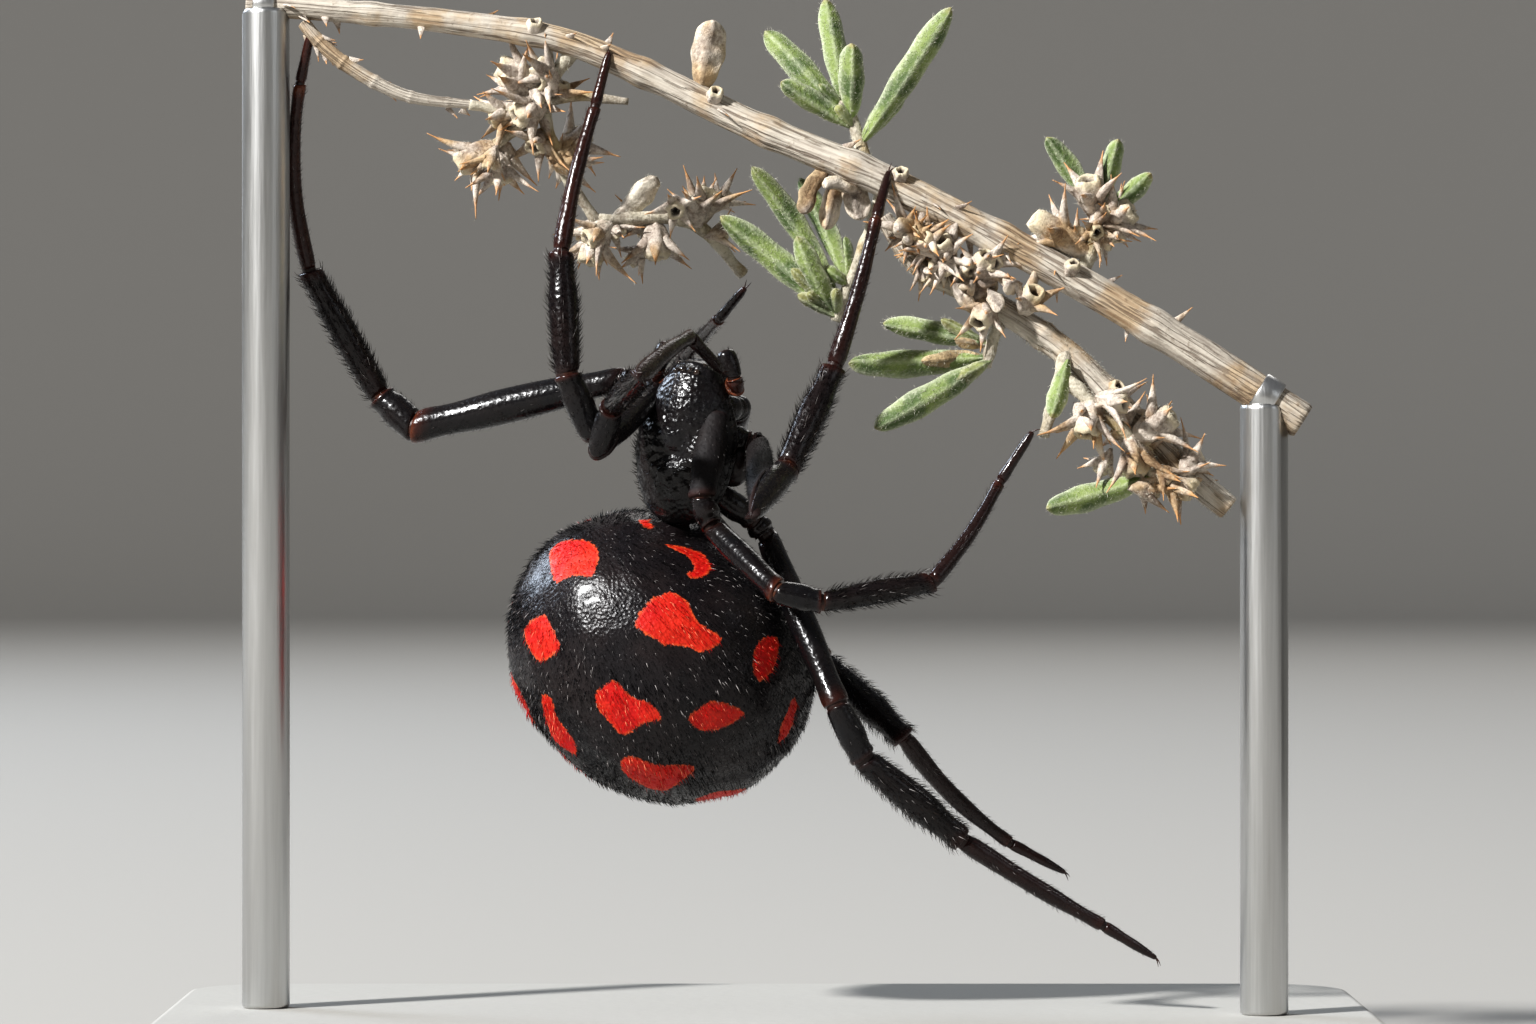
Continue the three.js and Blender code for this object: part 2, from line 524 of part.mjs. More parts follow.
function stalkSolid(route) {
  const radii = [STALK_RADIUS, STALK_RADIUS * 0.95, STALK_RADIUS * 0.85];
  return toSolid(taperedTube(route, radii, 6, 2 * route.length));
}

function buildGrowth(name, stems, leaves, cups, wood, material) {
  const pieces = [...stems.map(stalkSolid), ...leaves.map((leaf) => leafSolid(...leaf)),
    ...cups.map((cup) => cupSolid(...cup))];
  return named(name, join(pieces).subtract(wood), material);
}

function leftTwigSolid(grow = 0) {
  return toSolid(taperedTube(LEFT_TWIG_ROUTE, LEFT_TWIG_RADII.map((r) => r + grow), 7, 10));
}

function buildPerch() {
  const thickStem = stemSolid(TOUCH_GAP);
  const wood = thickStem.add(lowerBranchSolid(TOUCH_GAP));
  const meshes = [
    named('perch_stem', stemSolid(), bark),
    named('perch_twig_left', leftTwigSolid().subtract(thickStem), bark),
    named('perch_branch_lower', lowerBranchSolid().subtract(thickStem), bark),
  ];
  for (const [name, { stalk, leaves }] of Object.entries(LEAFY_SHOOTS)) {
    meshes.push(buildGrowth(name, [stalk], leaves, [], wood, leafGreen));
  }
  for (const [name, { stems, leaves, cups }] of Object.entries(DRY_SPRAYS)) {
    meshes.push(buildGrowth(name, stems, leaves, cups, wood, dryBract));
  }
  return meshes;
}

// Stand

function buildBase() {
  const [width, depth, height] = BASE_SIZE;
  const outline = new THREE.Shape();
  const x = width / 2 - BASE_BEVEL;
  const y = depth / 2 - BASE_BEVEL;
  outline.moveTo(-x + BASE_CORNER, -y);
  outline.lineTo(x - BASE_CORNER, -y);
  outline.absarc(x - BASE_CORNER, -y + BASE_CORNER, BASE_CORNER, -Math.PI / 2, 0, false);
  outline.absarc(x - BASE_CORNER, y - BASE_CORNER, BASE_CORNER, 0, Math.PI / 2, false);
  outline.absarc(-x + BASE_CORNER, y - BASE_CORNER, BASE_CORNER, Math.PI / 2, Math.PI, false);
  outline.absarc(-x + BASE_CORNER, -y + BASE_CORNER, BASE_CORNER, Math.PI, 1.5 * Math.PI, false);
  const block = new THREE.ExtrudeGeometry(outline, {
    depth: height - 2 * BASE_BEVEL, bevelEnabled: true, bevelThickness: BASE_BEVEL,
    bevelSize: BASE_BEVEL, bevelSegments: 1, curveSegments: 5,
  });
  block.translate(0, 0, BASE_BEVEL);
  return named('stand_base', toSolid(block), standPaint);
}

function buildRod(side) {
  const [x, y, topZ] = ROD_TOPS[side];
  const foot = BASE_SIZE[2] + TOUCH_GAP;
  const rod = new THREE.CylinderGeometry(ROD_RADIUS, ROD_RADIUS, topZ - foot, 20);
  rod.rotateX(Math.PI / 2).translate(x, y, (topZ + foot) / 2);
  return named(`stand_rod_${side}`, toSolid(rod).subtract(stemSolid(TOUCH_GAP)), standMetal);
}

const grippedWood = stemSolid(TOUCH_GAP).add(leftTwigSolid(TOUCH_GAP));

const group = new THREE.Group();
group.add(buildProsoma(), buildAbdomen(), buildPedicel(), buildSpinnerets());
for (const [side, sign] of [['left', -1], ['right', 1]]) {
  group.add(buildChelicera(side, sign), buildPalp(side, sign));
}
for (const [name, pose] of Object.entries(LEG_POSES)) {
  group.add(...buildLeg(name, pose));
}
group.add(...buildPerch(), buildBase());
group.add(buildRod('left'), buildRod('right'));

export default group;
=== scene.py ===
import math

import bpy
import numpy as np
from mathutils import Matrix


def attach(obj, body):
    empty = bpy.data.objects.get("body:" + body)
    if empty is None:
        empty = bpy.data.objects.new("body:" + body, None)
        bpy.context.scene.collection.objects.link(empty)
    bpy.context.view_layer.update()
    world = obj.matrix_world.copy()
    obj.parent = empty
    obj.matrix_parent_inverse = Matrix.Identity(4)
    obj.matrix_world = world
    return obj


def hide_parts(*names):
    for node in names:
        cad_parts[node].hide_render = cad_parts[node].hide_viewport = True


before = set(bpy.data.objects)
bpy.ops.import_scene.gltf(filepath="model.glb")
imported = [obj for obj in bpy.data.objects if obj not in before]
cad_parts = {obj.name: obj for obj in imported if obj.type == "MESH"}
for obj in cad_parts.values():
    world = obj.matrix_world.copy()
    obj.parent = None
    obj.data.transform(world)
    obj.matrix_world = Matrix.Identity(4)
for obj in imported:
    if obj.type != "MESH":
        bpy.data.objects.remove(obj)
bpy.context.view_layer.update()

# Camera, floor and light
# The spider hangs in front of the camera, its back turned to it. The floor is a pale round
# sheet that rises far out on every side. A small soft lamp at the upper left gives the bright
# highlights, a bluish one behind lights the left rim, and two weak ones fill the shadows.

CAMERA_PLACE = (0.0, -0.2, 0.018)
CAMERA_LENS = 150
PHOTO_WIDTH = 1536
PHOTO_HEIGHT = 1024
SENSOR = 36
FLOOR_COLOUR = (0.36, 0.347, 0.325, 1)
FLOOR_FLAT = 0.9
FLOOR_REACH = 1.5
FLOOR_RISE = 0.9
FLOOR_SIDES = 96
FLAT_RINGS = 8
RISING_RINGS = 24

scene = bpy.context.scene
camera = bpy.data.objects.new("camera", bpy.data.cameras.new("camera"))
scene.collection.objects.link(camera)
camera.location = CAMERA_PLACE
camera.rotation_euler = (math.pi / 2, 0, 0)
camera.data.lens = CAMERA_LENS
camera.data.sensor_width = SENSOR
camera.data.clip_start = 0.005
camera.data.clip_end = 20
scene.camera = camera
scene.view_settings.view_transform = "Standard"
scene.view_settings.look = "Medium High Contrast"


class Wire:
    """A socket of a node tree, with the arithmetic and the nodes that the finishes use."""

    def __init__(self, tree, socket=None):
        self.tree = tree
        self.socket = socket

    def node(self, kind, settings=None, values=None, out=0):
        made = self.tree.nodes.new(kind)
        for key, value in (settings or {}).items():
            setattr(made, key, value)
        for key, value in (values or {}).items():
            if isinstance(value, Wire):
                self.tree.links.new(value.socket, made.inputs[key])
            else:
                made.inputs[key].default_value = value
        return Wire(self.tree, made.outputs[out])

    def maths(self, operation, first, second=0.0):
        return self.node("ShaderNodeMath", {"operation": operation}, {0: first, 1: second})

    def __add__(self, other):
        return self.maths("ADD", self, other)

    __radd__ = __add__

    def __sub__(self, other):
        return self.maths("SUBTRACT", self, other)

    def __rsub__(self, other):
        return self.maths("SUBTRACT", other, self)

    def __mul__(self, other):
        return self.maths("MULTIPLY", self, other)

    __rmul__ = __mul__

    def between(self, low, high):
        """0 below low, 1 above high, and smooth between them."""
        return self.node("ShaderNodeMapRange", {"interpolation_type": "SMOOTHSTEP"},
                         {0: self, 1: low, 2: high})

    def tint(self, low, high):
        """A colour that goes from low to high as this value goes from 0 to 1. Each of the two
        is a fixed colour or a colour wire."""
        return self.node("ShaderNodeMix", {"data_type": "RGBA"}, {0: self, 6: low, 7: high}, 2)


def new_material(name):
    """An empty material, a wire of its tree to start from, and its output socket."""
    material = bpy.data.materials.new(name)
    material.use_nodes = True
    material.node_tree.nodes.clear()
    wire = Wire(material.node_tree)
    end = material.node_tree.nodes.new("ShaderNodeOutputMaterial")
    return material, wire, end.inputs["Surface"]


def finish_surface(wire, end, values, bump=None, depth=0.0):
    """Ends a material in one Principled shader, with a bump of the given depth in metres."""
    if bump is not None:
        values["Normal"] = wire.node("ShaderNodeBump", values={"Height": bump, "Distance": depth})
    surface = wire.node("ShaderNodeBsdfPrincipled", values=values)
    wire.tree.links.new(surface.socket, end)


def place_in(wire):
    """Object coordinates, which are metres in the shared frame on every finished piece."""
    return wire.node("ShaderNodeTexCoord", out="Object")


def noise(wire, place, scale, detail=3.0, roughness=0.5):
    """Soft random values. The scale is in lumps per metre where the places are in metres."""
    return wire.node("ShaderNodeTexNoise",
                     values={"Vector": place, "Scale": scale, "Detail": detail, "Roughness": roughness})


def mark(wire, name):
    """A value that is stored at the points of the mesh."""
    return wire.node("ShaderNodeAttribute", {"attribute_name": name}, out="Fac")


floor_rings = [(FLOOR_FLAT * step / FLAT_RINGS, 0.0) for step in range(FLAT_RINGS + 1)]
for step in range(1, RISING_RINGS + 1):
    turn = math.pi / 2 * step / RISING_RINGS
    floor_rings.append((FLOOR_FLAT + (FLOOR_REACH - FLOOR_FLAT) * math.sin(turn),
                        FLOOR_RISE * (1 - math.cos(turn))))
floor_points = []
floor_faces = []
for ring, (radius, height) in enumerate(floor_rings):
    for side in range(FLOOR_SIDES):
        turn = 2 * math.pi * side / FLOOR_SIDES
        floor_points.append((radius * math.cos(turn), radius * math.sin(turn), height))
        if ring:
            outer = ring * FLOOR_SIDES + side
            beside = ring * FLOOR_SIDES + (side + 1) % FLOOR_SIDES
            floor_faces.append((outer - FLOOR_SIDES, outer, beside, beside - FLOOR_SIDES))
floor_mesh = bpy.data.meshes.new("floor")
floor_mesh.from_pydata(floor_points, [], floor_faces)
floor_mesh.shade_smooth()
floor = bpy.data.objects.new("floor", floor_mesh)
scene.collection.objects.link(floor)
floor_paint, wire, end = new_material("floor_paint")
finish_surface(wire, end, {"Base Color": FLOOR_COLOUR, "Roughness": 0.95, "Specular IOR Level": 0.03})
floor_mesh.materials.append(floor_paint)

# Each lamp's place in metres, its size, its power in watts and its colour.
LAMPS = {
    "key": ((-0.62, -0.48, 0.563), 0.08, 18.4, (0.98, 0.98, 0.98)),
    "fill_right": ((0.5, -0.45, 0.28), 0.3, 0.2, (0.9, 0.95, 1.0)),
    "back": ((0.1, 0.6, 0.42), 0.3, 0.55, (1.0, 0.98, 0.95)),
    "sky": ((-0.4, 0.32, 0.32), 0.26, 2.1, (0.74, 0.85, 1.0)),
}
LAMP_AIM = (0.0, 0.0, 0.017)
WORLD_COLOUR = (0.93, 0.95, 1.0, 1)
WORLD_LIGHT = 0.17

world = bpy.data.worlds.new("studio")
world.use_nodes = True
background = world.node_tree.nodes["Background"]
background.inputs["Color"].default_value = WORLD_COLOUR
background.inputs["Strength"].default_value = WORLD_LIGHT
scene.world = world
for name, (place, size, power, colour) in LAMPS.items():
    lamp = bpy.data.objects.new(name, bpy.data.lights.new(name, "AREA"))
    scene.collection.objects.link(lamp)
    lamp.data.shape = "DISK"
    lamp.data.size = size
    lamp.data.energy = power
    lamp.data.color = colour
    lamp.location = place
    aim = np.subtract(LAMP_AIM, place)
    lamp.rotation_euler = (math.acos(aim[2] / np.linalg.norm(aim)) + math.pi, 0,
                           math.atan2(aim[1], aim[0]) + math.pi / 2)

# Head shield and sternum
# One hard, glossy black shell that carries the eyes, jaws and legs. Its back is wide and low
# over the legs, narrows to a raised head, and has a pit in the middle with grooves that run
# out from it. Sizes here and below are in millimetres.

SHIELD_CENTRE = np.array([-2.5, -0.8, 20.2])
SHIELD_HALF_LENGTH = 2.6
THORAX_HALF_WIDTH = 1.75
HEAD_HALF_WIDTH = 1.38
THORAX_HEIGHT = 1.0
HEAD_HEIGHT = 1.12
STERNUM_DEPTH = 0.85
BACK_TURN = math.radians(30)
HEAD_LEAN = math.radians(7.8)
SHIELD_RINGS = 130
SHIELD_SIDES = 160
# Depths and widths of what is sunk into the shield's back. Places are to the right and forward
# of its centre.
PIT_FORWARD = -0.55
PIT_DEPTH = 0.15
PIT_WIDTHS = (0.36, 0.24)
HEAD_GROOVE = ((0.16, -0.4), (1.3, 1.0))
HEAD_GROOVE_DEPTH = 0.09
RAY_START = 0.35
RAY_ENDS = ((1.75, 0.1), (1.6, -0.9), (1.0, -1.9))
RAY_DEPTH = 0.035
GROOVE_WIDTH = 0.24
HEAD_RIDGE = 0.07
BROW_RIPPLE = 0.045
STERNUM_RISE = 0.05
RIM_PINCH = 0.06
# A rounded bulge of the right flank, between the second and the fourth coxa.
COXA_BULGE = np.array([1.3, -0.6, -0.6])
COXA_BULGE_HALVES = np.array([0.62, 0.62, 0.46])
SHELL_COLOUR = (0.0045, 0.0042, 0.005, 1)
SHELL_BROWN = (0.016, 0.009, 0.007, 1)
END_RED = (0.04, 0.009, 0.005, 1)
END_ORANGE = (0.12, 0.034, 0.014, 1)
MEMBRANE_DARK = (0.02, 0.007, 0.005, 1)
MEMBRANE_ORANGE = (0.09, 0.027, 0.011, 1)
# Random lumps are a sum of this many waves, divided by this to stay about between -1 and 1.
LUMP_WAVES = 14
LUMP_DIVISOR = 5.3
# The part of a flat map's cell that stays empty along each side.
CELL_MARGIN = 0.02


def unit(vector):
    """The same direction, or each of an array of directions, with a length of 1."""
    vector = np.asarray(vector, float)
    return vector / np.linalg.norm(vector, axis=-1, keepdims=True)


def full_turn(sides):
    """Even turns round a ring, in radians."""
    return np.linspace(0, 2 * math.pi, sides, endpoint=False)


FORWARD = np.array([math.sin(HEAD_LEAN), 0, math.cos(HEAD_LEAN)])
RIGHT = unit(np.cross(FORWARD, [-math.sin(BACK_TURN), -math.cos(BACK_TURN), 0]))
DORSAL = np.cross(RIGHT, FORWARD)


def body_point(right, forward, dorsal):
    """The place of a point that is given in the animal's own directions, from the shield's centre."""
    return (SHIELD_CENTRE + np.multiply.outer(right, RIGHT) + np.multiply.outer(forward, FORWARD)
            + np.multiply.outer(dorsal, DORSAL))


def smooth(low, high, value):
    """0 up to low, 1 from high on, and smooth between them. It falls where low is the greater."""
    t = np.clip((value - low) / (high - low), 0, 1)
    return t * t * (3 - 2 * t)


def fade(distance, width):
    """1 where the distance is 0, falling smoothly to nearly 0 at twice the width."""
    return np.exp(-(distance / width) ** 2)


def line_gap(x, y, start, end):
    """How far points of a plane lie from the straight line between two others."""
    run, climb = np.subtract(end, start)
    t = np.clip(((x - start[0]) * run + (y - start[1]) * climb) / (run ** 2 + climb ** 2), 0, 1)
    return np.hypot(x - start[0] - t * run, y - start[1] - t * climb)


def lumps(points, size, seed):
    """A smooth random height from -1 to 1 over points, with lumps of about the given size."""
    draw = np.random.default_rng(seed)
    total = np.zeros(points.shape[:-1])
    for _ in range(LUMP_WAVES):
        way = draw.normal(size=3)
        way *= (0.7 + 0.6 * draw.random()) * math.pi / size / np.linalg.norm(way)
        total += np.sin(points @ way + draw.random() * 2 * math.pi)
    return total / LUMP_DIVISOR


class Skin:
    """Gathers closed sheets of points into one mesh, with values at its points and a flat map."""

    def __init__(self, cells=1):
        self.points = []
        self.faces = []
        self.flat = []
        self.values = {}
        self.count = 0
        self.cells = cells
        self.used = 0

    def sheet(self, rows, **values):
        """Adds rings of points, rows[ring][side], closed round each ring and at both ends. A
        value is a number or a vector, or an array of them over the rings and sides."""
        rings, sides = rows.shape[:2]
        points = np.concatenate([rows.reshape(-1, 3), [rows[0].mean(0), rows[-1].mean(0)]])
        # Corners are (side, ring). The ends' middle points stand half a side on.
        ring, side = np.mgrid[:rings - 1, :sides]
        quads = np.stack([[side, ring], [side + 1, ring], [side + 1, ring + 1], [side, ring + 1]])
        quads = quads.reshape(4, 2, -1).transpose(2, 0, 1)
        k = np.arange(sides)
        first = np.stack([[k + 0.5, 0 * k], [k + 1, 0 * k], [k, 0 * k]]).transpose(2, 0, 1)
        last = first[:, [0, 2, 1]] + [0, rings - 1]
        centre = points.mean(0)
        volume = 0
        gathered = []
        for corners, middle in ((quads, 0), (first, rings * sides), (last, rings * sides + 1)):
            numbers = (corners[..., 1] * sides + np.floor(corners[..., 0]) % sides).astype(int)
            numbers = np.where(corners[..., 0] % 1 > 0, middle, numbers)
            gathered.append((numbers, corners / [sides, rings - 1]))
        for triangle in ((0, 1, 2), (0, 2, 3)):
            a, b, c = (points[gathered[0][0][:, n]] - centre for n in triangle)
            volume += (np.cross(a, b) * c).sum()
        corner = np.array([self.used % self.cells, self.used // self.cells]) / self.cells
        self.used += 1
        for faces, flat in gathered:
            if volume < 0:
                faces, flat = faces[:, ::-1], flat[:, ::-1]
            self.faces += (faces + self.count).tolist()
            flat = CELL_MARGIN + (1 - 2 * CELL_MARGIN) * flat
            self.flat.append((corner + flat / self.cells).reshape(-1, 2))
        for name, value in values.items():
            value = np.asarray(value, float)
            size = value.shape[-1:] if value.ndim % 2 else ()
            value = np.broadcast_to(value, (rings, sides) + size)
            ends = np.stack([value[0].mean(0), value[-1].mean(0)])
            self.values.setdefault(name, []).append(np.concatenate([value.reshape((-1,) + size), ends]))
        self.points.append(points)
        self.count += len(points)

    def build(self, name, material):
        """The finished piece, in metres, with its object at the origin."""
        mesh = bpy.data.meshes.new(name)
        mesh.from_pydata((np.concatenate(self.points) * 0.001).tolist(), [], self.faces)
        flat = mesh.uv_layers.new(name="flat")
        flat.data.foreach_set("uv", np.concatenate(self.flat).astype(np.float32).ravel())
        for key, parts in self.values.items():
            value = np.concatenate(parts)
            kind, field = ("FLOAT_VECTOR", "vector") if value.ndim > 1 else ("FLOAT", "value")
            made = mesh.attributes.new(key, kind, "POINT")
            made.data.foreach_set(field, value.astype(np.float32).ravel())
        mesh.shade_smooth()
        mesh.materials.append(material)
        piece = bpy.data.objects.new(name, mesh)
        scene.collection.objects.link(piece)
        return piece


def shield_surface(along, around):
    """The shell's points [right, forward, dorsal] for places from -1 to 1 and turns in radians."""
    ring = np.sqrt(np.clip(1 - along ** 2, 0, 1)) ** 0.8
    headward = smooth(0.05, 0.75, along)
    width = THORAX_HALF_WIDTH + (HEAD_HALF_WIDTH - THORAX_HALF_WIDTH) * headward
    height = np.where(np.sin(around) > 0, THORAX_HEIGHT + (HEAD_HEIGHT - THORAX_HEIGHT) * headward,
                      STERNUM_DEPTH)
    return width * ring * np.cos(around), SHIELD_HALF_LENGTH * along, height * ring * np.sin(around)


along, around = np.meshgrid(np.sin(np.linspace(-1, 1, SHIELD_RINGS) * math.pi / 2),
                            full_turn(SHIELD_SIDES), indexing="ij")
right, forward, dorsal = shield_surface(along, around)
upper = smooth(0.0, 0.35, np.sin(around))
lower = smooth(0.0, 0.35, -np.sin(around))
past_pit = forward - PIT_FORWARD
turn = np.arctan2(past_pit, right)
reach = np.hypot(right, past_pit)
# The back sinks along the grooves beside the head, along rays from the pit and in the pit. It
# rises in the middle of the head, and has ripples on the brow and folds round the pit.
sink = np.zeros_like(along)
for sign in (-1, 1):
    groove = [(sign * x, y) for x, y in HEAD_GROOVE]
    sink += HEAD_GROOVE_DEPTH * fade(line_gap(right, forward, *groove), GROOVE_WIDTH)
    for x, y in RAY_ENDS:
        ray = line_gap(right, forward, (sign * RAY_START, PIT_FORWARD), (sign * x, y))
        sink += RAY_DEPTH * fade(ray, GROOVE_WIDTH)
sink += PIT_DEPTH * fade(right, PIT_WIDTHS[0]) * fade(past_pit, PIT_WIDTHS[1])
sink -= HEAD_RIDGE * fade(right, 0.5) * fade(forward - 0.9, 0.8)
ripples = np.cos(forward * 17 + right ** 2 * 5)
sink += BROW_RIPPLE * ripples * smooth(1.8, 2.1, forward) * fade(right, 0.7)
folds = 0.02 * np.sin(turn * 13 + 2 * np.sin(reach * 4))
folds += 0.016 * np.sin(reach * 15 + 1.5 * np.sin(turn * 5))
sink += folds * smooth(0.1, 0.4, reach) * smooth(1.9, 0.9, reach)
spots = np.stack([right, forward, dorsal], -1)
rough = 0.018 * lumps(spots, 0.5, 11) + 0.008 * lumps(spots, 0.24, 12) + 0.005 * lumps(spots, 0.12, 13)
sink = sink * upper + rough * (0.4 + 0.6 * upper)
sternum = smooth(1.15, 0.95, np.hypot(right / 1.05, (forward + 0.1) / 1.5))
sink -= STERNUM_RISE * sternum * lower
sink += RIM_PINCH * fade(np.sin(around), 0.12) * smooth(0.7, 0.4, along)
rows = body_point(right, forward, dorsal)
outward = unit(rows - body_point(0 * along, forward * 0.8, 0 * along))
rows = rows - outward * sink[..., None]
margin = fade(np.sin(around) - 0.1, 0.35)
shield = Skin()
shield.sheet(rows, lie=FORWARD * 0.6 + DORSAL * 0.4, thick=0.07 + 0.93 * margin, size=0.6 + 0.6 * margin,
             membrane=0, distal=0, rough=1 - 0.6 * margin, dull=0.5 * margin)
t = np.linspace(-0.995, 0.995, 36)[:, None]
turn = full_turn(40)
ring = (1 - np.abs(t) ** 3) ** 0.45
form = np.stack(np.broadcast_arrays(t, ring * np.cos(turn), ring * np.sin(turn)))
rows = body_point(*(COXA_BULGE + COXA_BULGE_HALVES * form.transpose(1, 2, 0)).transpose(2, 0, 1))
shield.sheet(rows, lie=RIGHT, thick=0.3, size=0.6, membrane=0, distal=0.15, rough=0.2, dull=0.2)

shell_finish, wire, end = new_material("shell")
place = place_in(wire)
coarse = noise(wire, place, 900.0, 3.0)
grain = noise(wire, place, 6200.0, 3.0, 0.6)
pits = wire.node("ShaderNodeTexVoronoi", {"feature": "SMOOTH_F1"},
                 {"Vector": place, "Scale": 7400.0, "Smoothness": 0.5})
joint = mark(wire, "membrane").between(0.3, 0.7)
end_red = mark(wire, "distal")
rough = mark(wire, "rough")
dull = mark(wire, "dull")
black = (coarse - 0.35).tint(SHELL_COLOUR, SHELL_BROWN)
dark = (end_red * (0.4 + coarse)).tint(black, END_RED)
dark = (end_red + 1.4 * (coarse - 0.5)).between(0.9, 1.6).tint(dark, END_ORANGE)
blotch = noise(wire, place, 2800.0, 2.0)
membrane = (end_red + 1.6 * (blotch - 0.5)).between(0.25, 0.75).tint(MEMBRANE_DARK, MEMBRANE_ORANGE)
colour = joint.tint(dark, membrane)
finish_surface(wire, end, {
    "Base Color": colour,
    "Roughness": 0.19 + 0.14 * grain + 0.14 * joint + 0.45 * dull,
    "Coat Weight": 0.15 - 0.15 * dull,
    "Coat Roughness": 0.06,
    "Specular IOR Level": 0.32,
}, bump=coarse * 0.4 + (grain * 0.5 + pits * 0.6) * (0.3 + 0.45 * rough), depth=0.00007)

shield_piece = shield.build("shield", shell_finish)
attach(shield_piece, "root")
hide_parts("prosoma")

# Abdomen
# A nearly round, tight sack of satin black skin, a little longer than wide. Red spots stand in
# rows on its back and sides. Below it are the breathing plates, a cross furrow and two red
# bars. The pedicel, a short stalk, joins it to the shield.

ABDOMEN_CENTRE = np.array([-3.37, 1.1, 13.47])
ABDOMEN_HALVES = np.array([5.08, 4.42, 4.55])
ABDOMEN_TILT = math.radians(-55.4)
ABDOMEN_RINGS = 190
ABDOMEN_SIDES = 220
SKIN_INSET = 0.06
REARWARD = unit([0.35, 0.286, -0.892])
SIDEWAYS = unit([0.633, -0.774, 0.0])
UNDERWARD = np.cross(SIDEWAYS, REARWARD)
PHOTO_FOCAL = CAMERA_LENS / SENSOR * PHOTO_WIDTH
LUMP_BALL = 4.6
# Places below are on a ball with a radius of 1: rearward of the middle, and out to each side.
FURROW_REAR = -0.42
PLATE_REAR = -0.66
PLATE_SIDE = 0.34
PLATE_HALVES = (0.17, 0.24)
KNOB_REAR = -0.5
KNOB_RADIUS = 0.07
BACK_PITS = ((-0.45, 0.2), (0.0, 0.26))
# Each red bar's place, half its width and half its length.
RED_BARS = ((-0.1, 0.27, 0.07), (0.16, 0.2, 0.06))
SKIN_BLACK = (0.008, 0.0066, 0.0078, 1)
SKIN_BROWN = (0.017, 0.012, 0.012, 1)
SPOT_RED = (0.46, 0.006, 0.005, 1)
SPOT_ORANGE = (0.55, 0.022, 0.008, 1)
SPOT_RIM = (0.66, 0.13, 0.03, 1)

# Outlines of the spots that the photo shows, in its pixels. Their mirror images across the
# animal's middle plane are the spots of the far side.
MIDDLE_SPOTS = {
    "first": [(548, 553), (560, 541), (587, 538), (599, 550), (593, 577), (574, 574), (553, 584)],
    "second": [(520, 630), (544, 612), (550, 628), (560, 647), (537, 665)],
    "third": [(538, 696), (549, 697), (555, 720), (573, 742), (576, 757), (550, 737)],
}
SIDE_SPOTS = {
    "front_hook": [(662, 542), (686, 545), (706, 552), (713, 565), (706, 574), (693, 576), (687, 571),
                   (697, 566), (690, 555), (678, 549)],
    "front_bar": [(637, 519), (648, 519), (654, 528), (645, 527)],
    "upper": [(633, 625), (650, 600), (671, 590), (688, 601), (696, 621), (725, 639), (703, 653),
              (684, 645), (664, 645), (650, 635)],
    "centre": [(593, 694), (614, 679), (629, 698), (650, 703), (664, 719), (645, 722), (623, 737),
               (613, 727), (599, 713)],
    "lower": [(621, 759), (633, 757), (659, 767), (699, 767), (669, 791), (645, 787), (622, 773)],
    "inner_flank": [(686, 719), (713, 699), (749, 713), (722, 730), (700, 732)],
    "upper_flank": [(756, 645), (771, 634), (782, 640), (776, 669), (761, 682), (754, 674)],
    "outer_flank": [(793, 697), (801, 703), (790, 737), (778, 747)],
    "low_flank": [(693, 802), (710, 794), (751, 787), (735, 799), (712, 806)],
}

axes = np.array([[math.sin(ABDOMEN_TILT), 0, math.cos(ABDOMEN_TILT)],
                 [math.cos(ABDOMEN_TILT), 0, -math.sin(ABDOMEN_TILT)],
                 [0, 1, 0]])


def on_ball(pixel):
    """The place on the abdomen that a pixel of the photo shows, as a direction on a unit ball."""
    way = np.array([(pixel[0] - PHOTO_WIDTH / 2) / PHOTO_FOCAL, 1.0,
                    -(pixel[1] - PHOTO_HEIGHT / 2) / PHOTO_FOCAL])
    start = (axes @ (np.array(CAMERA_PLACE) * 1000 - ABDOMEN_CENTRE)) / ABDOMEN_HALVES
    way = (axes @ way) / ABDOMEN_HALVES
    nearest = start - (start @ way) / (way @ way) * way
    spot = nearest - way * math.sqrt(max(1 - nearest @ nearest, 0) / (way @ way))
    return unit(unit(spot) @ axes)


def inside_by(directions, outline):
    """How far points of the ball lie inside an outline on it, in millimetres, less than 0 outside."""
    middle = unit(outline.mean(0))
    side = unit(np.cross(middle, [0.0, 0.0, 1.0]))
    other = np.cross(middle, side)
    radius = ABDOMEN_HALVES.mean()
    near = directions @ middle
    spread = np.arccos(np.clip(near, -1, 1)) / np.sqrt(np.clip(1 - near ** 2, 1e-9, 1)) * radius
    x, y = directions @ side * spread, directions @ other * spread
    corners = np.stack([outline @ side, outline @ other], -1) / (outline @ middle)[:, None] * radius
    gap = np.full(near.shape, 9.0)
    inside = np.zeros(near.shape, bool)
    for start, end in zip(corners, np.roll(corners, -1, 0)):
        gap = np.minimum(gap, line_gap(x, y, start, end))
        run, climb = end - start
        crosses = (start[1] > y) != (end[1] > y)
        inside ^= crosses & (x < start[0] + (y - start[1]) * run / (climb + 1e-12))
    gap = np.where(inside, gap, -gap)
    return np.where(near > 0.2, gap, -9.0)


def rounded(outline):
    """The same outline with its corners cut twice."""
    points = np.array(outline, float)
    for _ in range(2):
        after = np.roll(points, -1, 0)
        pairs = np.stack([0.82 * points + 0.18 * after, 0.18 * points + 0.82 * after], 1)
        points = pairs.reshape(-1, 2)
    return points


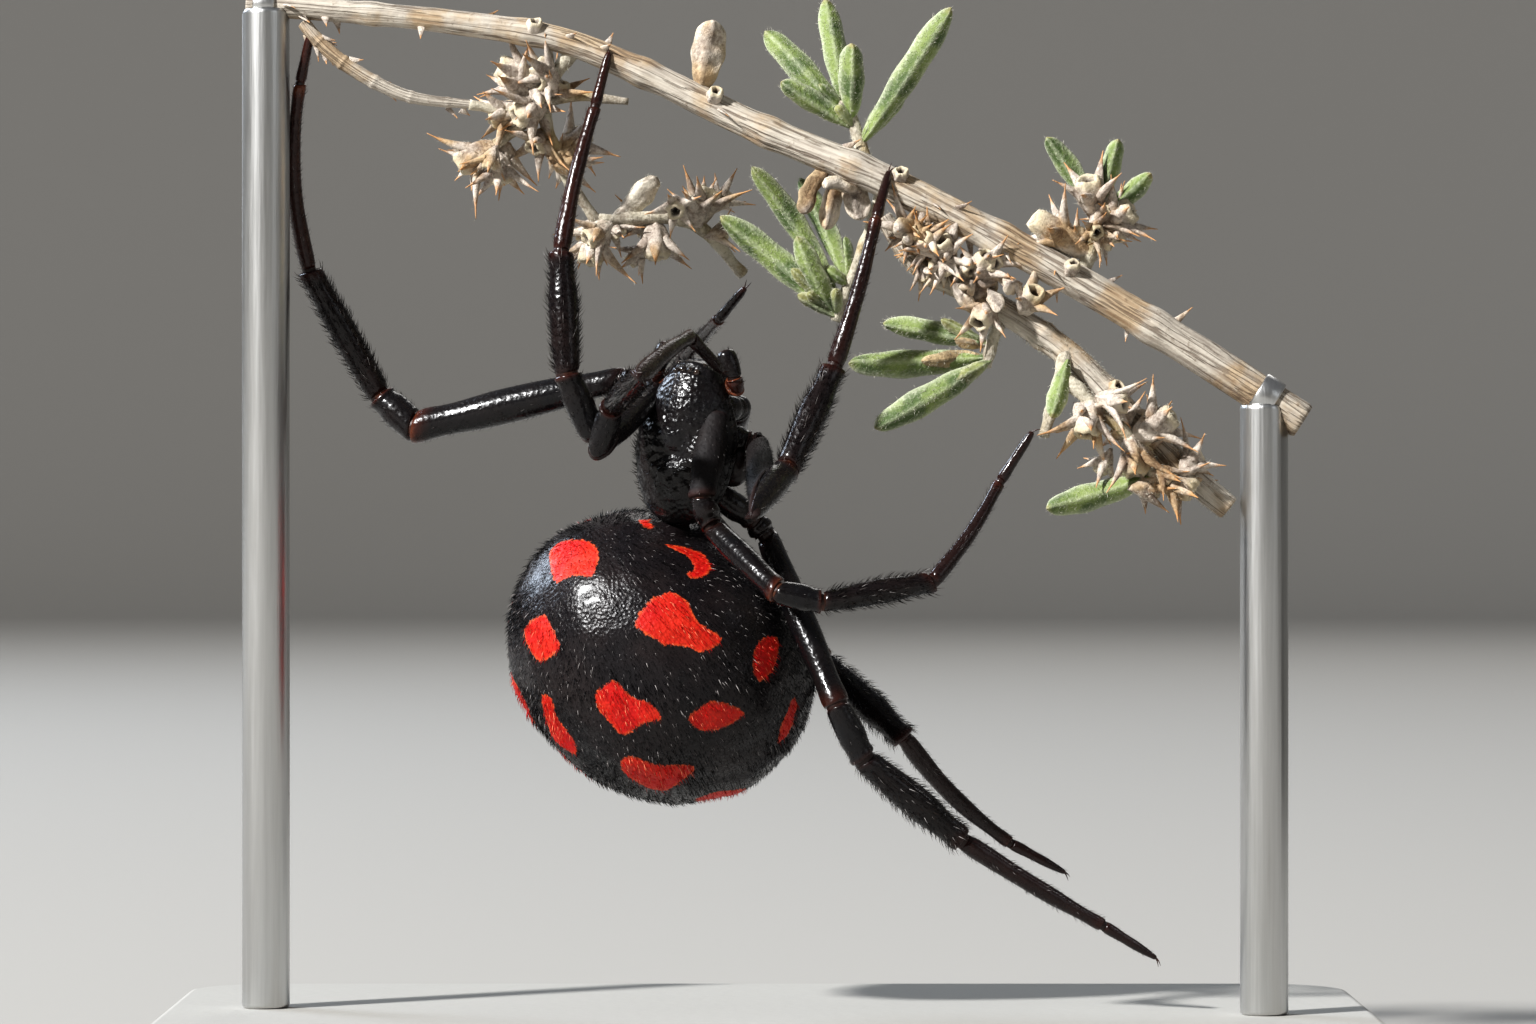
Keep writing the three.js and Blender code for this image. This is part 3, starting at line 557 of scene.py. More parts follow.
def spot_depth(directions):
    """How far points lie inside the nearest red mark, in millimetres, held between -1 and 1."""
    depth = np.full(directions.shape[:-1], -1.0)
    for outlines, mirrored in ((MIDDLE_SPOTS, False), (SIDE_SPOTS, True)):
        for pixels in outlines.values():
            outline = np.array([on_ball(pixel) for pixel in rounded(pixels)])
            depth = np.maximum(depth, inside_by(directions, outline))
            if mirrored:
                far = outline - 2 * np.outer(outline @ SIDEWAYS, SIDEWAYS)
                depth = np.maximum(depth, inside_by(directions, far))
    side = directions @ SIDEWAYS
    rear = directions @ REARWARD
    under = directions @ UNDERWARD
    for middle, half_side, half_rear in RED_BARS:
        narrow = half_rear * (0.6 + 0.6 * np.abs(side) / half_side)
        drift = rear - middle + 0.02 * np.sin(side * 21 + middle * 9)
        bar = 1 - ((np.abs(side) / half_side) ** 3 + (np.abs(drift) / narrow) ** 3) ** (1 / 3)
        bar = bar * half_rear * ABDOMEN_HALVES.mean()
        depth = np.maximum(depth, np.where(under > 0.3, bar, -1))
    return np.clip(depth, -1, 1)


back_turn, side_turn = np.meshgrid(np.linspace(0.012, math.pi - 0.012, ABDOMEN_RINGS),
                                   full_turn(ABDOMEN_SIDES), indexing="ij")
ball = -np.cos(back_turn)[..., None] * REARWARD + np.sin(back_turn)[..., None] * (
    np.cos(side_turn)[..., None] * UNDERWARD + np.sin(side_turn)[..., None] * SIDEWAYS)
rear = ball @ REARWARD
under = ball @ UNDERWARD
side = ball @ SIDEWAYS
belly = smooth(0.2, 0.5, under)
spots = ball * LUMP_BALL
height = 0.055 * lumps(spots, 1.2, 5) + 0.022 * lumps(spots, 0.55, 6) + 0.006 * lumps(spots, 0.25, 7)
height -= 0.10 * fade(rear - FURROW_REAR, 0.035) * smooth(0.35, 0.6, under)
plates = np.hypot((np.abs(side) - PLATE_SIDE) / PLATE_HALVES[1], (rear - PLATE_REAR) / PLATE_HALVES[0])
height += 0.05 * smooth(1.0, 0.85, plates) * belly
for pit_rear, pit_side in BACK_PITS:
    pit = np.hypot(np.abs(side) - pit_side, rear - pit_rear)
    height -= 0.05 * fade(pit, 0.045) * smooth(0, 0.4, -under)
knob = np.hypot(side, rear - KNOB_REAR) / KNOB_RADIUS
height += (0.14 * np.exp(-knob ** 4) - 0.1 * fade(knob, 0.03 / KNOB_RADIUS)) * belly
rows = ABDOMEN_CENTRE + ((ball @ axes.T) * (ABDOMEN_HALVES - SKIN_INSET)) @ axes
rows = rows + ball * height[..., None]
bare = smooth(0.8, 1.0, np.minimum(plates, knob) + 1 - belly)
abdomen = Skin()
abdomen.sheet(rows, spot=spot_depth(ball), lie=unit(np.gradient(rows, axis=0)), thick=0.15 + 0.85 * bare,
              size=0.8 + 0.25 * lumps(spots, 1.2, 8))

abdomen_finish, wire, end = new_material("abdomen_skin")
place = place_in(wire)
cloud = noise(wire, place, 520.0, 4.0)
ragged = noise(wire, place, 7000.0, 4.0, 0.7)
wrinkle = wire.node("ShaderNodeTexVoronoi", {"feature": "SMOOTH_F1"},
                    {"Vector": place, "Scale": 9500.0, "Smoothness": 0.7})
depth = mark(wire, "spot")
red = (depth + 0.34 * (ragged - 0.5)).between(-0.03, 0.02)
spot_colour = cloud.between(0.4, 0.6).tint(SPOT_RED, SPOT_ORANGE)
rim = (1 - (depth + 0.3 * (ragged - 0.5)).between(0.0, 0.11)) * ragged.between(0.4, 0.6)
spot_colour = (rim * 0.7).tint(spot_colour, SPOT_RIM)
skin_colour = cloud.between(0.35, 0.7).tint(SKIN_BLACK, SKIN_BROWN)
colour = red.tint(skin_colour, spot_colour)
finish_surface(wire, end, {
    "Base Color": colour,
    "Roughness": 0.2 + 0.17 * ragged + 0.24 * red,
    "Specular IOR Level": 0.27,
    "Coat Weight": 0.08,
    "Coat Roughness": 0.12,
}, bump=wrinkle * 0.6 + ragged * 0.5 + red * 0.2, depth=0.000028)

abdomen_piece = abdomen.build("abdomen_skin", abdomen_finish)
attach(abdomen_piece, "root")
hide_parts("abdomen")


def ring_rows(centres, radii, sides, across=None):
    """Rings of points round a line of centres. The first point of each lies towards across."""
    centres = np.asarray(centres, float)
    radii = np.broadcast_to(np.asarray(radii, float), len(centres))
    ways = unit(np.gradient(centres, axis=0))
    first = np.cross(ways[0], [0.3, 0.5, 0.81]) if across is None else np.asarray(across, float)
    turn = full_turn(sides)[:, None]
    rows = []
    for centre, radius, way in zip(centres, radii, ways):
        first = unit(first - (first @ way) * way)
        second = np.cross(way, first)
        rows.append(centre + radius * (np.cos(turn) * first + np.sin(turn) * second))
    return np.array(rows)


def eased(stops, t):
    """A smooth curve of values through (place, value) stops."""
    places = np.array([stop[0] for stop in stops])
    values = np.array([stop[1] for stop in stops], float)
    slopes = np.gradient(values, places, axis=0)
    k = np.clip(np.searchsorted(places, t, side="right") - 1, 0, len(places) - 2)
    span = places[k + 1] - places[k]
    u = (t - places[k]) / span
    if values.ndim > 1:
        u, span = u[..., None], span[..., None]
    return ((1 + 2 * u) * (1 - u) ** 2 * values[k] + u * (1 - u) ** 2 * span * slopes[k]
            + u * u * (3 - 2 * u) * values[k + 1] + u * u * (u - 1) * span * slopes[k + 1])


PEDICEL_START = body_point(0, -2.25, -0.35)
PEDICEL_END = ABDOMEN_CENTRE + (0.4, 0.2, 3.9)
PEDICEL_RADIUS = 0.34
t = np.linspace(0, 1, 14)
pedicel = Skin()
pedicel_line = PEDICEL_START + np.outer(t, PEDICEL_END - PEDICEL_START)
rows = ring_rows(pedicel_line, PEDICEL_RADIUS + 0.05 * np.cos(t * 14), 28)
pedicel.sheet(rows, membrane=0.35, distal=0.6)
pedicel_piece = pedicel.build("pedicel_skin", shell_finish)
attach(pedicel_piece, "root")
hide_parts("pedicel")

# Legs
# Each leg is a row of hard glossy tubes: coxa, trochanter, femur, patella, tibia, metatarsus
# and tarsus. They are cut to meet along the slanted plane of each bend, with a rounded lip,
# and reddish-brown joint skin shows between them.

LEG_LENGTHS = {
    1: {"femur": 6.95, "patella": 1.6, "tibia": 4.6, "metatarsus": 5.95, "tarsus": 1.75},
    2: {"femur": 4.9, "patella": 1.85, "tibia": 3.85, "metatarsus": 4.85, "tarsus": 1.8},
    3: {"femur": 3.6, "patella": 1.38, "tibia": 3.5, "metatarsus": 4.1, "tarsus": 1.85},
    4: {"femur": 6.3, "patella": 1.86, "tibia": 4.2, "metatarsus": 5.25, "tarsus": 2.0},
}
LEG_RADII = {
    1: {"femur": (0.42, 0.57, 0.5), "patella": (0.5, 0.52, 0.45), "tibia": (0.4, 0.44, 0.38),
        "metatarsus": (0.27, 0.24, 0.2), "tarsus": (0.18, 0.155, 0.12)},
    2: {"femur": (0.38, 0.45, 0.43), "patella": (0.44, 0.47, 0.42), "tibia": (0.42, 0.47, 0.39),
        "metatarsus": (0.29, 0.24, 0.2), "tarsus": (0.18, 0.155, 0.12)},
    3: {"femur": (0.36, 0.41, 0.39), "patella": (0.38, 0.41, 0.36), "tibia": (0.33, 0.39, 0.34),
        "metatarsus": (0.26, 0.22, 0.19), "tarsus": (0.18, 0.155, 0.12)},
    4: {"femur": (0.39, 0.46, 0.41), "patella": (0.41, 0.45, 0.41), "tibia": (0.41, 0.5, 0.4),
        "metatarsus": (0.31, 0.27, 0.21), "tarsus": (0.19, 0.155, 0.1)},
}
# Where each coxa leaves the body, where the femur starts, and the heading (degrees round Z
# from +X) and rise (degrees over the level) of each length in the hanging pose.
LEG_POSES = {
    "left_1": {"pair": 1, "coxa": (-3.13, 0.4, 21.63), "hip": (-4.59, 1.3, 22.18),
               "femur": (166.4, -12.4), "patella": (155.4, 38.3), "tibia": (-163.2, 59.9),
               "metatarsus": (-101.3, 79.7), "tarsus": (-52.6, 68.9), "bow": (-0.35, 0, 0)},
    "left_2": {"pair": 2, "coxa": (-3.2, 1.05, 20.73), "hip": (-3.36, 3.0, 21.39),
               "femur": (-116.6, -9.2), "patella": (-151.3, 64.4), "tibia": (109.9, 81),
               "metatarsus": (49.9, 70.9), "tarsus": (26, 74.5), "bow": (-0.1, 0, 0)},
    "left_3": {"pair": 3, "stout": 1.22, "coxa": (-3.51, 0.6, 20.07), "hip": (-3.53, -0.35, 21.62),
               "femur": (-119.8, -25.6), "patella": (-59.4, 59.1), "tibia": (-74.2, 14.1),
               "metatarsus": (67.9, 18.1), "tarsus": (49.4, -34.4), "bow": (0, 0, 0.1)},
    "left_4": {"pair": 4, "coxa": (-3.14, 1.0, 18.75), "hip": (-3.05, 3.1, 19.08),
               "femur": (32.3, -46.2), "patella": (-36.5, -43.2), "tibia": (-40.2, -35.6),
               "metatarsus": (31.8, -40.3), "tarsus": (-4.4, -28), "bow": (-0.15, 0, -0.15)},
    "right_1": {"pair": 1, "coxa": (-1.09, -0.5, 21.24), "hip": (-0.91, 0.8, 21.26),
                "femur": (98.3, -25.9), "patella": (107, 30.6), "tibia": (106.5, 51),
                "metatarsus": (-75.2, 15.4), "tarsus": (-55.1, 33), "bow": (0, 0, 0.1)},
    "right_2": {"pair": 2, "coxa": (-0.93, -1.0, 20.33), "hip": (-0.34, -0.9, 20.08),
                "femur": (-88, -19.4), "patella": (62.5, 26.7), "tibia": (47.5, 55.9),
                "metatarsus": (25.7, 72.6), "tarsus": (64.9, 56.6), "bow": (0.08, 0, 0)},
    "right_3": {"pair": 3, "girth": 1.16, "coxa": (-1.14, -2.0, 21.09), "knob": (-2.05, -2.65, 18.45),
                "hip": (-1.73, -2.5, 17.54), "femur": (-47.5, -33.3), "patella": (-0.7, -12.8),
                "tibia": (11.8, 9.9), "metatarsus": (38, 48.5), "tarsus": (-3.5, 57.1),
                "bow": (0.1, 0, -0.1)},
    "right_4": {"pair": 4, "coxa": (-1.12, -0.9, 18.47), "hip": (-0.06, -0.1, 17.28),
                "femur": (-51.5, -56.1), "patella": (18.8, -62.6), "tibia": (20.9, -38.1),
                "metatarsus": (11.2, -30.9), "tarsus": (10, -31.5), "bow": (0.1, 0, -0.12)},
}
# The half thickness of each length near its start, in its middle and near its end.
COXA_RADII = (0.3864, 0.4368, 0.3528)
TROCHANTER_RADII = (0.3444, 0.42, 0.336)
# How far along from the coxa to the hip the trochanter starts, where no knob is given.
TROCHANTER_PLACE = 0.62
JOINT_GAP = 0.07
TUBE_INSET = 0.005
SEGMENTS = ("coxa", "trochanter", "femur", "patella", "tibia", "metatarsus", "tarsus")
LEG_SIDES = 28


def heading(turns):
    """The direction that a turn round Z and a rise over the level give, both in degrees."""
    around, rise = np.radians(turns)
    level = math.cos(rise)
    return np.array([level * math.cos(around), level * math.sin(around), math.sin(rise)])


def leg_joints(pose):
    """The joints of one leg in turn from the body, and the half thicknesses of its seven lengths."""
    root, hip = np.array(pose["coxa"]), np.array(pose["hip"])
    knob = np.array(pose.get("knob", root + (hip - root) * TROCHANTER_PLACE))
    inside = body_point(0, (root - SHIELD_CENTRE) @ FORWARD * 0.8, -0.3)
    joints = [root + (inside - root) * 0.4, knob, hip]
    lengths = LEG_LENGTHS[pose["pair"]]
    for part in SEGMENTS[2:]:
        joints.append(joints[-1] + heading(pose[part]) * lengths[part])
    radii = [COXA_RADII, TROCHANTER_RADII] + [LEG_RADII[pose["pair"]][part] for part in SEGMENTS[2:]]
    for part, factor in (("coxa", "girth"), ("metatarsus", "stout"), ("tarsus", "stout")):
        k = SEGMENTS.index(part)
        radii[k] = tuple(radius * pose.get(factor, 1) for radius in radii[k])
    return joints, radii


def tube_rows(start, end, radii, before, after, bow, tip):
    """Rings of one length, cut at both ends along the slanted planes of its bends."""
    length = np.linalg.norm(end - start)
    way = (end - start) / length
    across = unit(np.cross(way, [0.31, 0.52, 0.8]))
    other = np.cross(way, across)
    root, middle, last = (radius - TUBE_INSET for radius in radii)
    places = np.concatenate([[0, 0, 0.006, 0.03], np.linspace(0.07, 0.93, 26), [0.965, 0.985, 0.996]])
    stops = [(0, root * 0.86), (0.04, root * 0.97), (0.12, root), (0.34, (root + 3 * middle) / 4),
             (0.6, middle), (0.9, last)]
    if tip:
        stops += [(1.0, last * 0.7)]
    else:
        stops += [(0.96, last * 1.06), (1.0, last * 0.98)]
        places = np.concatenate([places, [1, 1]])
    thick = eased(stops, places)
    thick[:2] *= (0.3, 0.8)
    thick[-2:] *= (0.8, 0.3) if not tip else (0.85, 0.55)
    turn = full_turn(LEG_SIDES)
    spoke = np.cos(turn)[:, None] * across + np.sin(turn)[:, None] * other
    near_gap = JOINT_GAP * (0.3 + 0.35 * (1 + np.cos(turn - 0.8)))
    far_gap = JOINT_GAP * (0.1 + 0.3 * (1 + np.cos(turn - 0.8)))
    near = (near_gap - (spoke @ before) * root) / (way @ before)
    far = length if tip else length - ((spoke @ after) * last + far_gap) / (way @ after)
    far = np.maximum(far, near + 0.1)
    along = near + np.multiply.outer(places, far - near)
    lift = np.sin(math.pi * np.clip(along / length, 0, 1))
    rows = start + along[..., None] * way + thick[:, None, None] * spoke + lift[..., None] * bow
    return rows, places


def add_limb(skin, joints, radii, looks, bows):
    """Adds a limb's tubes and the joint skin between them. Looks are, for each tube, how red it
    is, how thickly its bristles stand, how long they are and how orange its far joint is."""
    ways = [unit(b - a) for a, b in zip(joints, joints[1:])]
    last = len(ways) - 1
    for k, (redness, coverage, bristle, ring) in enumerate(looks):
        before = unit(ways[k - 1] + ways[k]) if k else ways[0]
        after = unit(ways[k] + ways[k + 1]) if k < last else ways[k]
        rows, places = tube_rows(joints[k], joints[k + 1], radii[k], before, after, bows[k], k == last)
        column = places[:, None]
        orange = ring * smooth(-0.3, 0.9, ways[k] @ ways[k + 1]) if k < last else 0.0
        ends_red = (0.3 + 1.7 * orange) * smooth(0.9, 1.0, column) + 0.3 * smooth(0.05, 0.0, column)
        skin.sheet(rows, lie=ways[k], membrane=0, distal=redness + ends_red, size=bristle,
                   dull=smooth(1.6, 2.2, coverage),
                   thick=coverage * smooth(0.0, 0.02, column) * smooth(1.0, 0.98, column))
        if k < last:
            radius = min(radii[k][2], radii[k + 1][0]) * 0.84
            t = np.linspace(-1, 1, 17)
            centres = joints[k + 1] + np.outer(t * radius * 1.05, after)
            rows = ring_rows(centres, radius * np.clip(1.0 - (t * 0.995) ** 2, 0.004, 1) ** 0.35, 24)
            skin.sheet(rows, lie=after, membrane=1, distal=orange, size=0, dull=0, thick=0)


# How red each length is, how thickly its bristles stand, how long they are, and how orange the
# joint skin at its far end is
LEG_LOOKS = {
    "coxa": (0.1, 0.3, 0.45, 0.2), "trochanter": (0.1, 0.25, 0.45, 0.1), "femur": (0.0, 0.3, 0.5, 0.6),
    "patella": (0.0, 0.7, 0.6, 0.5), "tibia": (0.1, 1.35, 1.05, 0.25), "metatarsus": (0.6, 1.0, 0.6, 0.2),
    "tarsus": (0.6, 0.9, 0.42, 0.0),
}
# Legs that differ from that: how red they are, which lengths are matt under dense hair, and how
# orange their joints are.
USUAL_REDNESS = 0.4
LEG_REDNESS = {"left_1": 1.2, "left_2": 1.0, "left_3": 0.35, "right_2": 0.6}
DULL_LENGTHS = {"right_2": "femur", "right_3": "coxa"}
DULL_COVERAGE = 2.2
RINGS = {"right_4": 0.35, "left_3": 0.3, "left_2": 0.6}
LEG_NODES = ("coxa", "femur", "patella", "tibia", "metatarsus")
leg_pieces = {}
for leg, pose in LEG_POSES.items():
    joints, radii = leg_joints(pose)
    bows = [np.array(pose["bow"] if part == "metatarsus" else (0, 0, 0), float) for part in SEGMENTS]
    looks = []
    for part in SEGMENTS:
        redness, coverage, bristle, ring = LEG_LOOKS[part]
        redness *= LEG_REDNESS.get(leg, USUAL_REDNESS)
        ring *= RINGS.get(leg, 1)
        if DULL_LENGTHS.get(leg) == part:
            coverage = DULL_COVERAGE
        looks.append((redness, coverage, bristle, ring))
    skin = Skin(cells=4)
    add_limb(skin, joints, radii, looks, bows)
    piece = skin.build("leg_" + leg, shell_finish)
    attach(piece, "root")
    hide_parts(*["leg_" + leg + "_" + part for part in LEG_NODES])
    leg_pieces[leg] = piece

# Eyes, jaws, feelers and mouth
# Eight small glassy eyes stand in two rows on the brow. Under it hang two stout jaws with
# short curved fangs. Beside them are two bristly feelers, and behind them the mouth's plates.

EYE_RADIUS = 0.11
EYE_ROWS = (
    {"forward": 2.18, "dorsal": 0.62, "spread": 0.24},
    {"forward": 2.4, "dorsal": 0.34, "spread": 0.3},
)
EYE_BROWN = (0.03, 0.016, 0.01, 1)
EYE_BLACK = (0.004, 0.003, 0.003, 1)
BOTH_SIDES = (("left", -1), ("right", 1))
# Routes of the right side, as places to the right and forward of the shield's centre and above it.
JAW_ROUTE = ((0.43, 2.05, -0.15), (0.36, 2.35, -1.75))
JAW_RADII = (0.38, 0.37, 0.24)
FANG_LENGTH = 0.62
PALP_ROUTE = ((0.9, 1.85, -0.45), (1.4, 1.85, -0.1), (1.4, 2.15, 0.1), (1.02, 2.95, 0.25))
PALP_RADII = ((0.26, 0.28, 0.26), (0.25, 0.27, 0.25), (0.27, 0.31, 0.26))
PALP_LOOKS = ((1.3, 0.5, 0.5, 0.35), (0.9, 0.6, 0.6, 0.2), (0.0, 0.8, 0.65, 0.0))
PLATE_ROUTE = ((0.5, 1.15, -0.62), (0.2, 2.0, -0.95))
PLATE_RADII = (0.24, 0.27, 0.2)
LIP_PLACE = (0, 1.25, -0.74)
LIP_HALVES = (0.27, 0.3, 0.17)


def mirrored(route, sign):
    """The places of a route on the right side, or on the left side where the sign is -1."""
    return [body_point(sign * right, forward, dorsal) for right, forward, dorsal in route]


def ball_rows(centre, radius, rings=18, sides=28):
    """Rings of a ball, or of an egg where the radius is three half lengths."""
    turn = np.linspace(0.02, math.pi - 0.02, rings)
    side = np.linspace(0, 2 * math.pi, sides, endpoint=False)
    spot = np.stack([np.outer(np.sin(turn), np.cos(side)), np.outer(np.sin(turn), np.sin(side)),
                     np.outer(np.cos(turn), np.ones(sides))], -1)
    return np.asarray(centre) + np.asarray(radius) * spot


def pod_rows(start, end, radii, sides=32, bend=(0, 0, 0)):
    """Rings of a smooth rounded form between two points, bent sideways in its middle."""
    start, end = np.array(start, float), np.array(end, float)
    t = np.sin(np.linspace(-0.985, 0.985, 30) * math.pi / 2) / 2 + 0.5
    first, middle, last = radii
    thick = eased([(0, first * 0.3), (0.05, first * 0.62), (0.2, first), (0.5, middle), (0.8, last),
                   (0.95, last * 0.62), (1, last * 0.25)], t)
    centres = start + np.outer(t, end - start) + np.outer(np.sin(math.pi * t), np.array(bend, float))
    return ring_rows(centres, thick, sides), t


eye_finish, wire, end = new_material("eye")
depth = noise(wire, place_in(wire), 2600.0, 2.0)
finish_surface(wire, end, {"Base Color": depth.between(0.35, 0.65).tint(EYE_BLACK, EYE_BROWN),
                           "Roughness": 0.04 + 0.03 * depth, "Coat Weight": 1.0, "Coat Roughness": 0.02})
eyes = Skin(cells=3)
for row in EYE_ROWS:
    for step in (-1.5, -0.5, 0.5, 1.5):
        forward = row["forward"] - abs(step) * 0.05
        eye = body_point(step * row["spread"], forward, row["dorsal"])
        inside = body_point(step * row["spread"] * 0.5, forward - 0.9, row["dorsal"] * 0.4)
        eyes.sheet(ball_rows(eye + unit(eye - inside) * 0.03, EYE_RADIUS))
eyes_piece = eyes.build("eyes", eye_finish)
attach(eyes_piece, "root")

for side, sign in BOTH_SIDES:
    start, tip = mirrored(JAW_ROUTE, sign)
    jaw = Skin(cells=2)
    rows, t = pod_rows(start, tip, [radius - 0.01 for radius in JAW_RADII], bend=FORWARD * 0.03)
    column = t[:, None]
    jaw.sheet(rows, lie=unit(tip - start), membrane=0, distal=0.1 + 0.5 * column,
              thick=0.5 + 0.5 * column, size=0.8)
    jaw_piece = jaw.build("jaw_" + side, shell_finish)
    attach(jaw_piece, "root")
    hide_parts("chelicera_" + side)

    t = np.linspace(0, 1, 22)
    swing = t * 1.5
    root = tip - unit(tip - start) * 0.12 - FORWARD * 0.02
    down = np.outer(np.sin(swing), -DORSAL * 0.9 - RIGHT * sign * 0.15)
    inward = np.outer(1 - np.cos(swing), -RIGHT * sign * 0.75 - FORWARD * 0.35)
    curve = root + FANG_LENGTH * 0.62 * (down + inward)
    fang = Skin()
    fang.sheet(ring_rows(curve, 0.1 * (1 - t) ** 0.7 + 0.008, 18), membrane=0, distal=1)
    fang_piece = fang.build("fang_" + side, shell_finish)
    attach(fang_piece, "root")

palp_pieces = {}
for side, sign in BOTH_SIDES:
    palp = Skin(cells=3)
    add_limb(palp, mirrored(PALP_ROUTE, sign), PALP_RADII, PALP_LOOKS, np.zeros((3, 3)))
    palp_piece = palp.build("feeler_" + side, shell_finish)
    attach(palp_piece, "root")
    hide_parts("palp_" + side)
    palp_pieces[side] = palp_piece

mouth = Skin(cells=2)
for side, sign in BOTH_SIDES:
    rows, t = pod_rows(*mirrored(PLATE_ROUTE, sign), PLATE_RADII, bend=RIGHT * sign * 0.06)
    mouth.sheet(rows, lie=FORWARD, membrane=0, distal=0.3 + 0.7 * t[:, None], thick=0.8, size=0.7)
rows = body_point(*ball_rows(LIP_PLACE, LIP_HALVES).transpose(2, 0, 1))
mouth.sheet(rows, lie=FORWARD, membrane=0, distal=0.3, thick=0.4, size=0.6)
mouth_piece = mouth.build("mouth_plates", shell_finish)
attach(mouth_piece, "root")

# Spinnerets and claws
# Three pairs of short cones stand on a low mound under the end of the abdomen, behind a small
# blunt knob. Each foot ends in two fine curved claws.

SPINNERET_AIM = (0.42, 0.5, -0.757)
SPINNERET_FOOT = 4.3
SPINNERET_SPREAD = 0.3
SPINNERET_LENGTH = 0.8
CLAW_LENGTH = 0.26

out = unit(SPINNERET_AIM)
foot = ABDOMEN_CENTRE + out * SPINNERET_FOOT
across = unit(np.cross([1, 0, 0], out))
other = np.cross(out, across)
spinnerets = Skin(cells=3)
# Each cone's two ends, radii, redness at its tip and cover of bristles: first the low mound,
# then the six spinnerets, and last the knob.
cones = [(foot, foot + out * 0.92, (0.74, 0.74, 0.5), 0.0, 0.5)]
for k in range(6):
    angle = 2 * math.pi * (k + 0.5) / 6
    outward = math.cos(angle) * across + math.sin(angle) * other
    aim = unit(out + 0.28 * outward)
    start = foot + out * 0.45 + outward * SPINNERET_SPREAD
    cones.append((start, start + aim * SPINNERET_LENGTH, (0.22, 0.19, 0.11), 0.4, 1.0))
cones.append((foot + out * 0.5, foot + out * 1.12, (0.16, 0.14, 0.1), 0.2, 0.6))
for start, tip, radii, redness, coverage in cones:
    rows, t = pod_rows(start, tip, radii, sides=24)
    spinnerets.sheet(rows, lie=unit(tip - start), membrane=0, distal=redness * t[:, None], thick=coverage,
                     size=0.8)
spinneret_piece = spinnerets.build("spinnerets_skin", shell_finish)
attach(spinneret_piece, "root")
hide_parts("spinnerets")

claws = Skin(cells=4)
for leg, pose in LEG_POSES.items():
    joints, radii = leg_joints(pose)
    way = unit(joints[-1] - joints[-2])
    under = unit(np.cross(way, np.cross(way, unit(joints[-2] - joints[0]))) + 1e-6)
    for sign in (-1, 1):
        beside = np.cross(way, under) * sign
        t = np.linspace(0, 1, 14)
        curve = joints[-1] - way * 0.06 + np.outer(t, way + 0.35 * beside) * CLAW_LENGTH
        curve -= np.outer(t ** 2, under) * CLAW_LENGTH * 0.7
        claws.sheet(ring_rows(curve, 0.028 * (1 - t) ** 0.8 + 0.003, 10), membrane=0, distal=0.8)
claw_piece = claws.build("claws", shell_finish)
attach(claw_piece, "root")

# Bristles
# Short stiff hairs lie backwards over the abdomen and along the legs, thicker and longer on
# the lower leg lengths and the feelers. They are black on the black skin and red on the red
# spots, with a few painted pale or rose as painted glints of light on the hairs. Each hair is a
# thin curved cone with its root in the skin.

BAKE_PATCH = 0.003
STRAND_SIDES = 3
HAIR_BLACK = (0.003, 0.0026, 0.003, 1)
HAIR_BROWN = (0.022, 0.015, 0.012, 1)
HAIR_REDDISH = (0.03, 0.011, 0.007, 1)
HAIR_PAINTED_GLINT = (0.32, 0.3, 0.29, 1)
ABDOMEN_HAIR_PAINTED_GLINT = (0.36, 0.33, 0.32, 1)
ABDOMEN_HAIR_RED = (0.42, 0.006, 0.005, 1)
ABDOMEN_HAIR_ROSE_GLINT = (0.8, 0.26, 0.14, 1)


def strand(name, thickness, curl, segments=2):
    """One hair of length 1 along +Z that curls towards +X, with a flat map of its own."""
    points, faces, flat = [], [], []
    for step in range(segments):
        t = step / segments
        for k in range(STRAND_SIDES):
            angle = 2 * math.pi * k / STRAND_SIDES
            reach = thickness * (1 - t) ** 0.7
            points.append((curl * t * t + reach * math.cos(angle), reach * math.sin(angle), t))
    points.append((curl, 0, 1))
    for step in range(segments):
        for k in range(STRAND_SIDES):
            a = step * STRAND_SIDES + k
            b = step * STRAND_SIDES + (k + 1) % STRAND_SIDES
            low, high = step / segments, (step + 1) / segments
            left, right = k / STRAND_SIDES, (k + 1) / STRAND_SIDES
            flat += [(left, low), (right, low)]
            if step < segments - 1:
                faces.append((a, b, b + STRAND_SIDES, a + STRAND_SIDES))
                flat += [(right, high), (left, high)]
            else:
                faces.append((a, b, segments * STRAND_SIDES))
                flat.append(((k + 0.5) / STRAND_SIDES, 1))
    faces.append((2, 1, 0))
    flat += [(0, 0), (0.5, 0), (1, 0)]
    mesh = bpy.data.meshes.new(name)
    mesh.from_pydata(points, [], faces)
    mesh.uv_layers.new(name="strand").data.foreach_set("uv", np.array(flat, np.float32).ravel())
    mesh.shade_smooth()
    return bpy.data.objects.new(name, mesh)


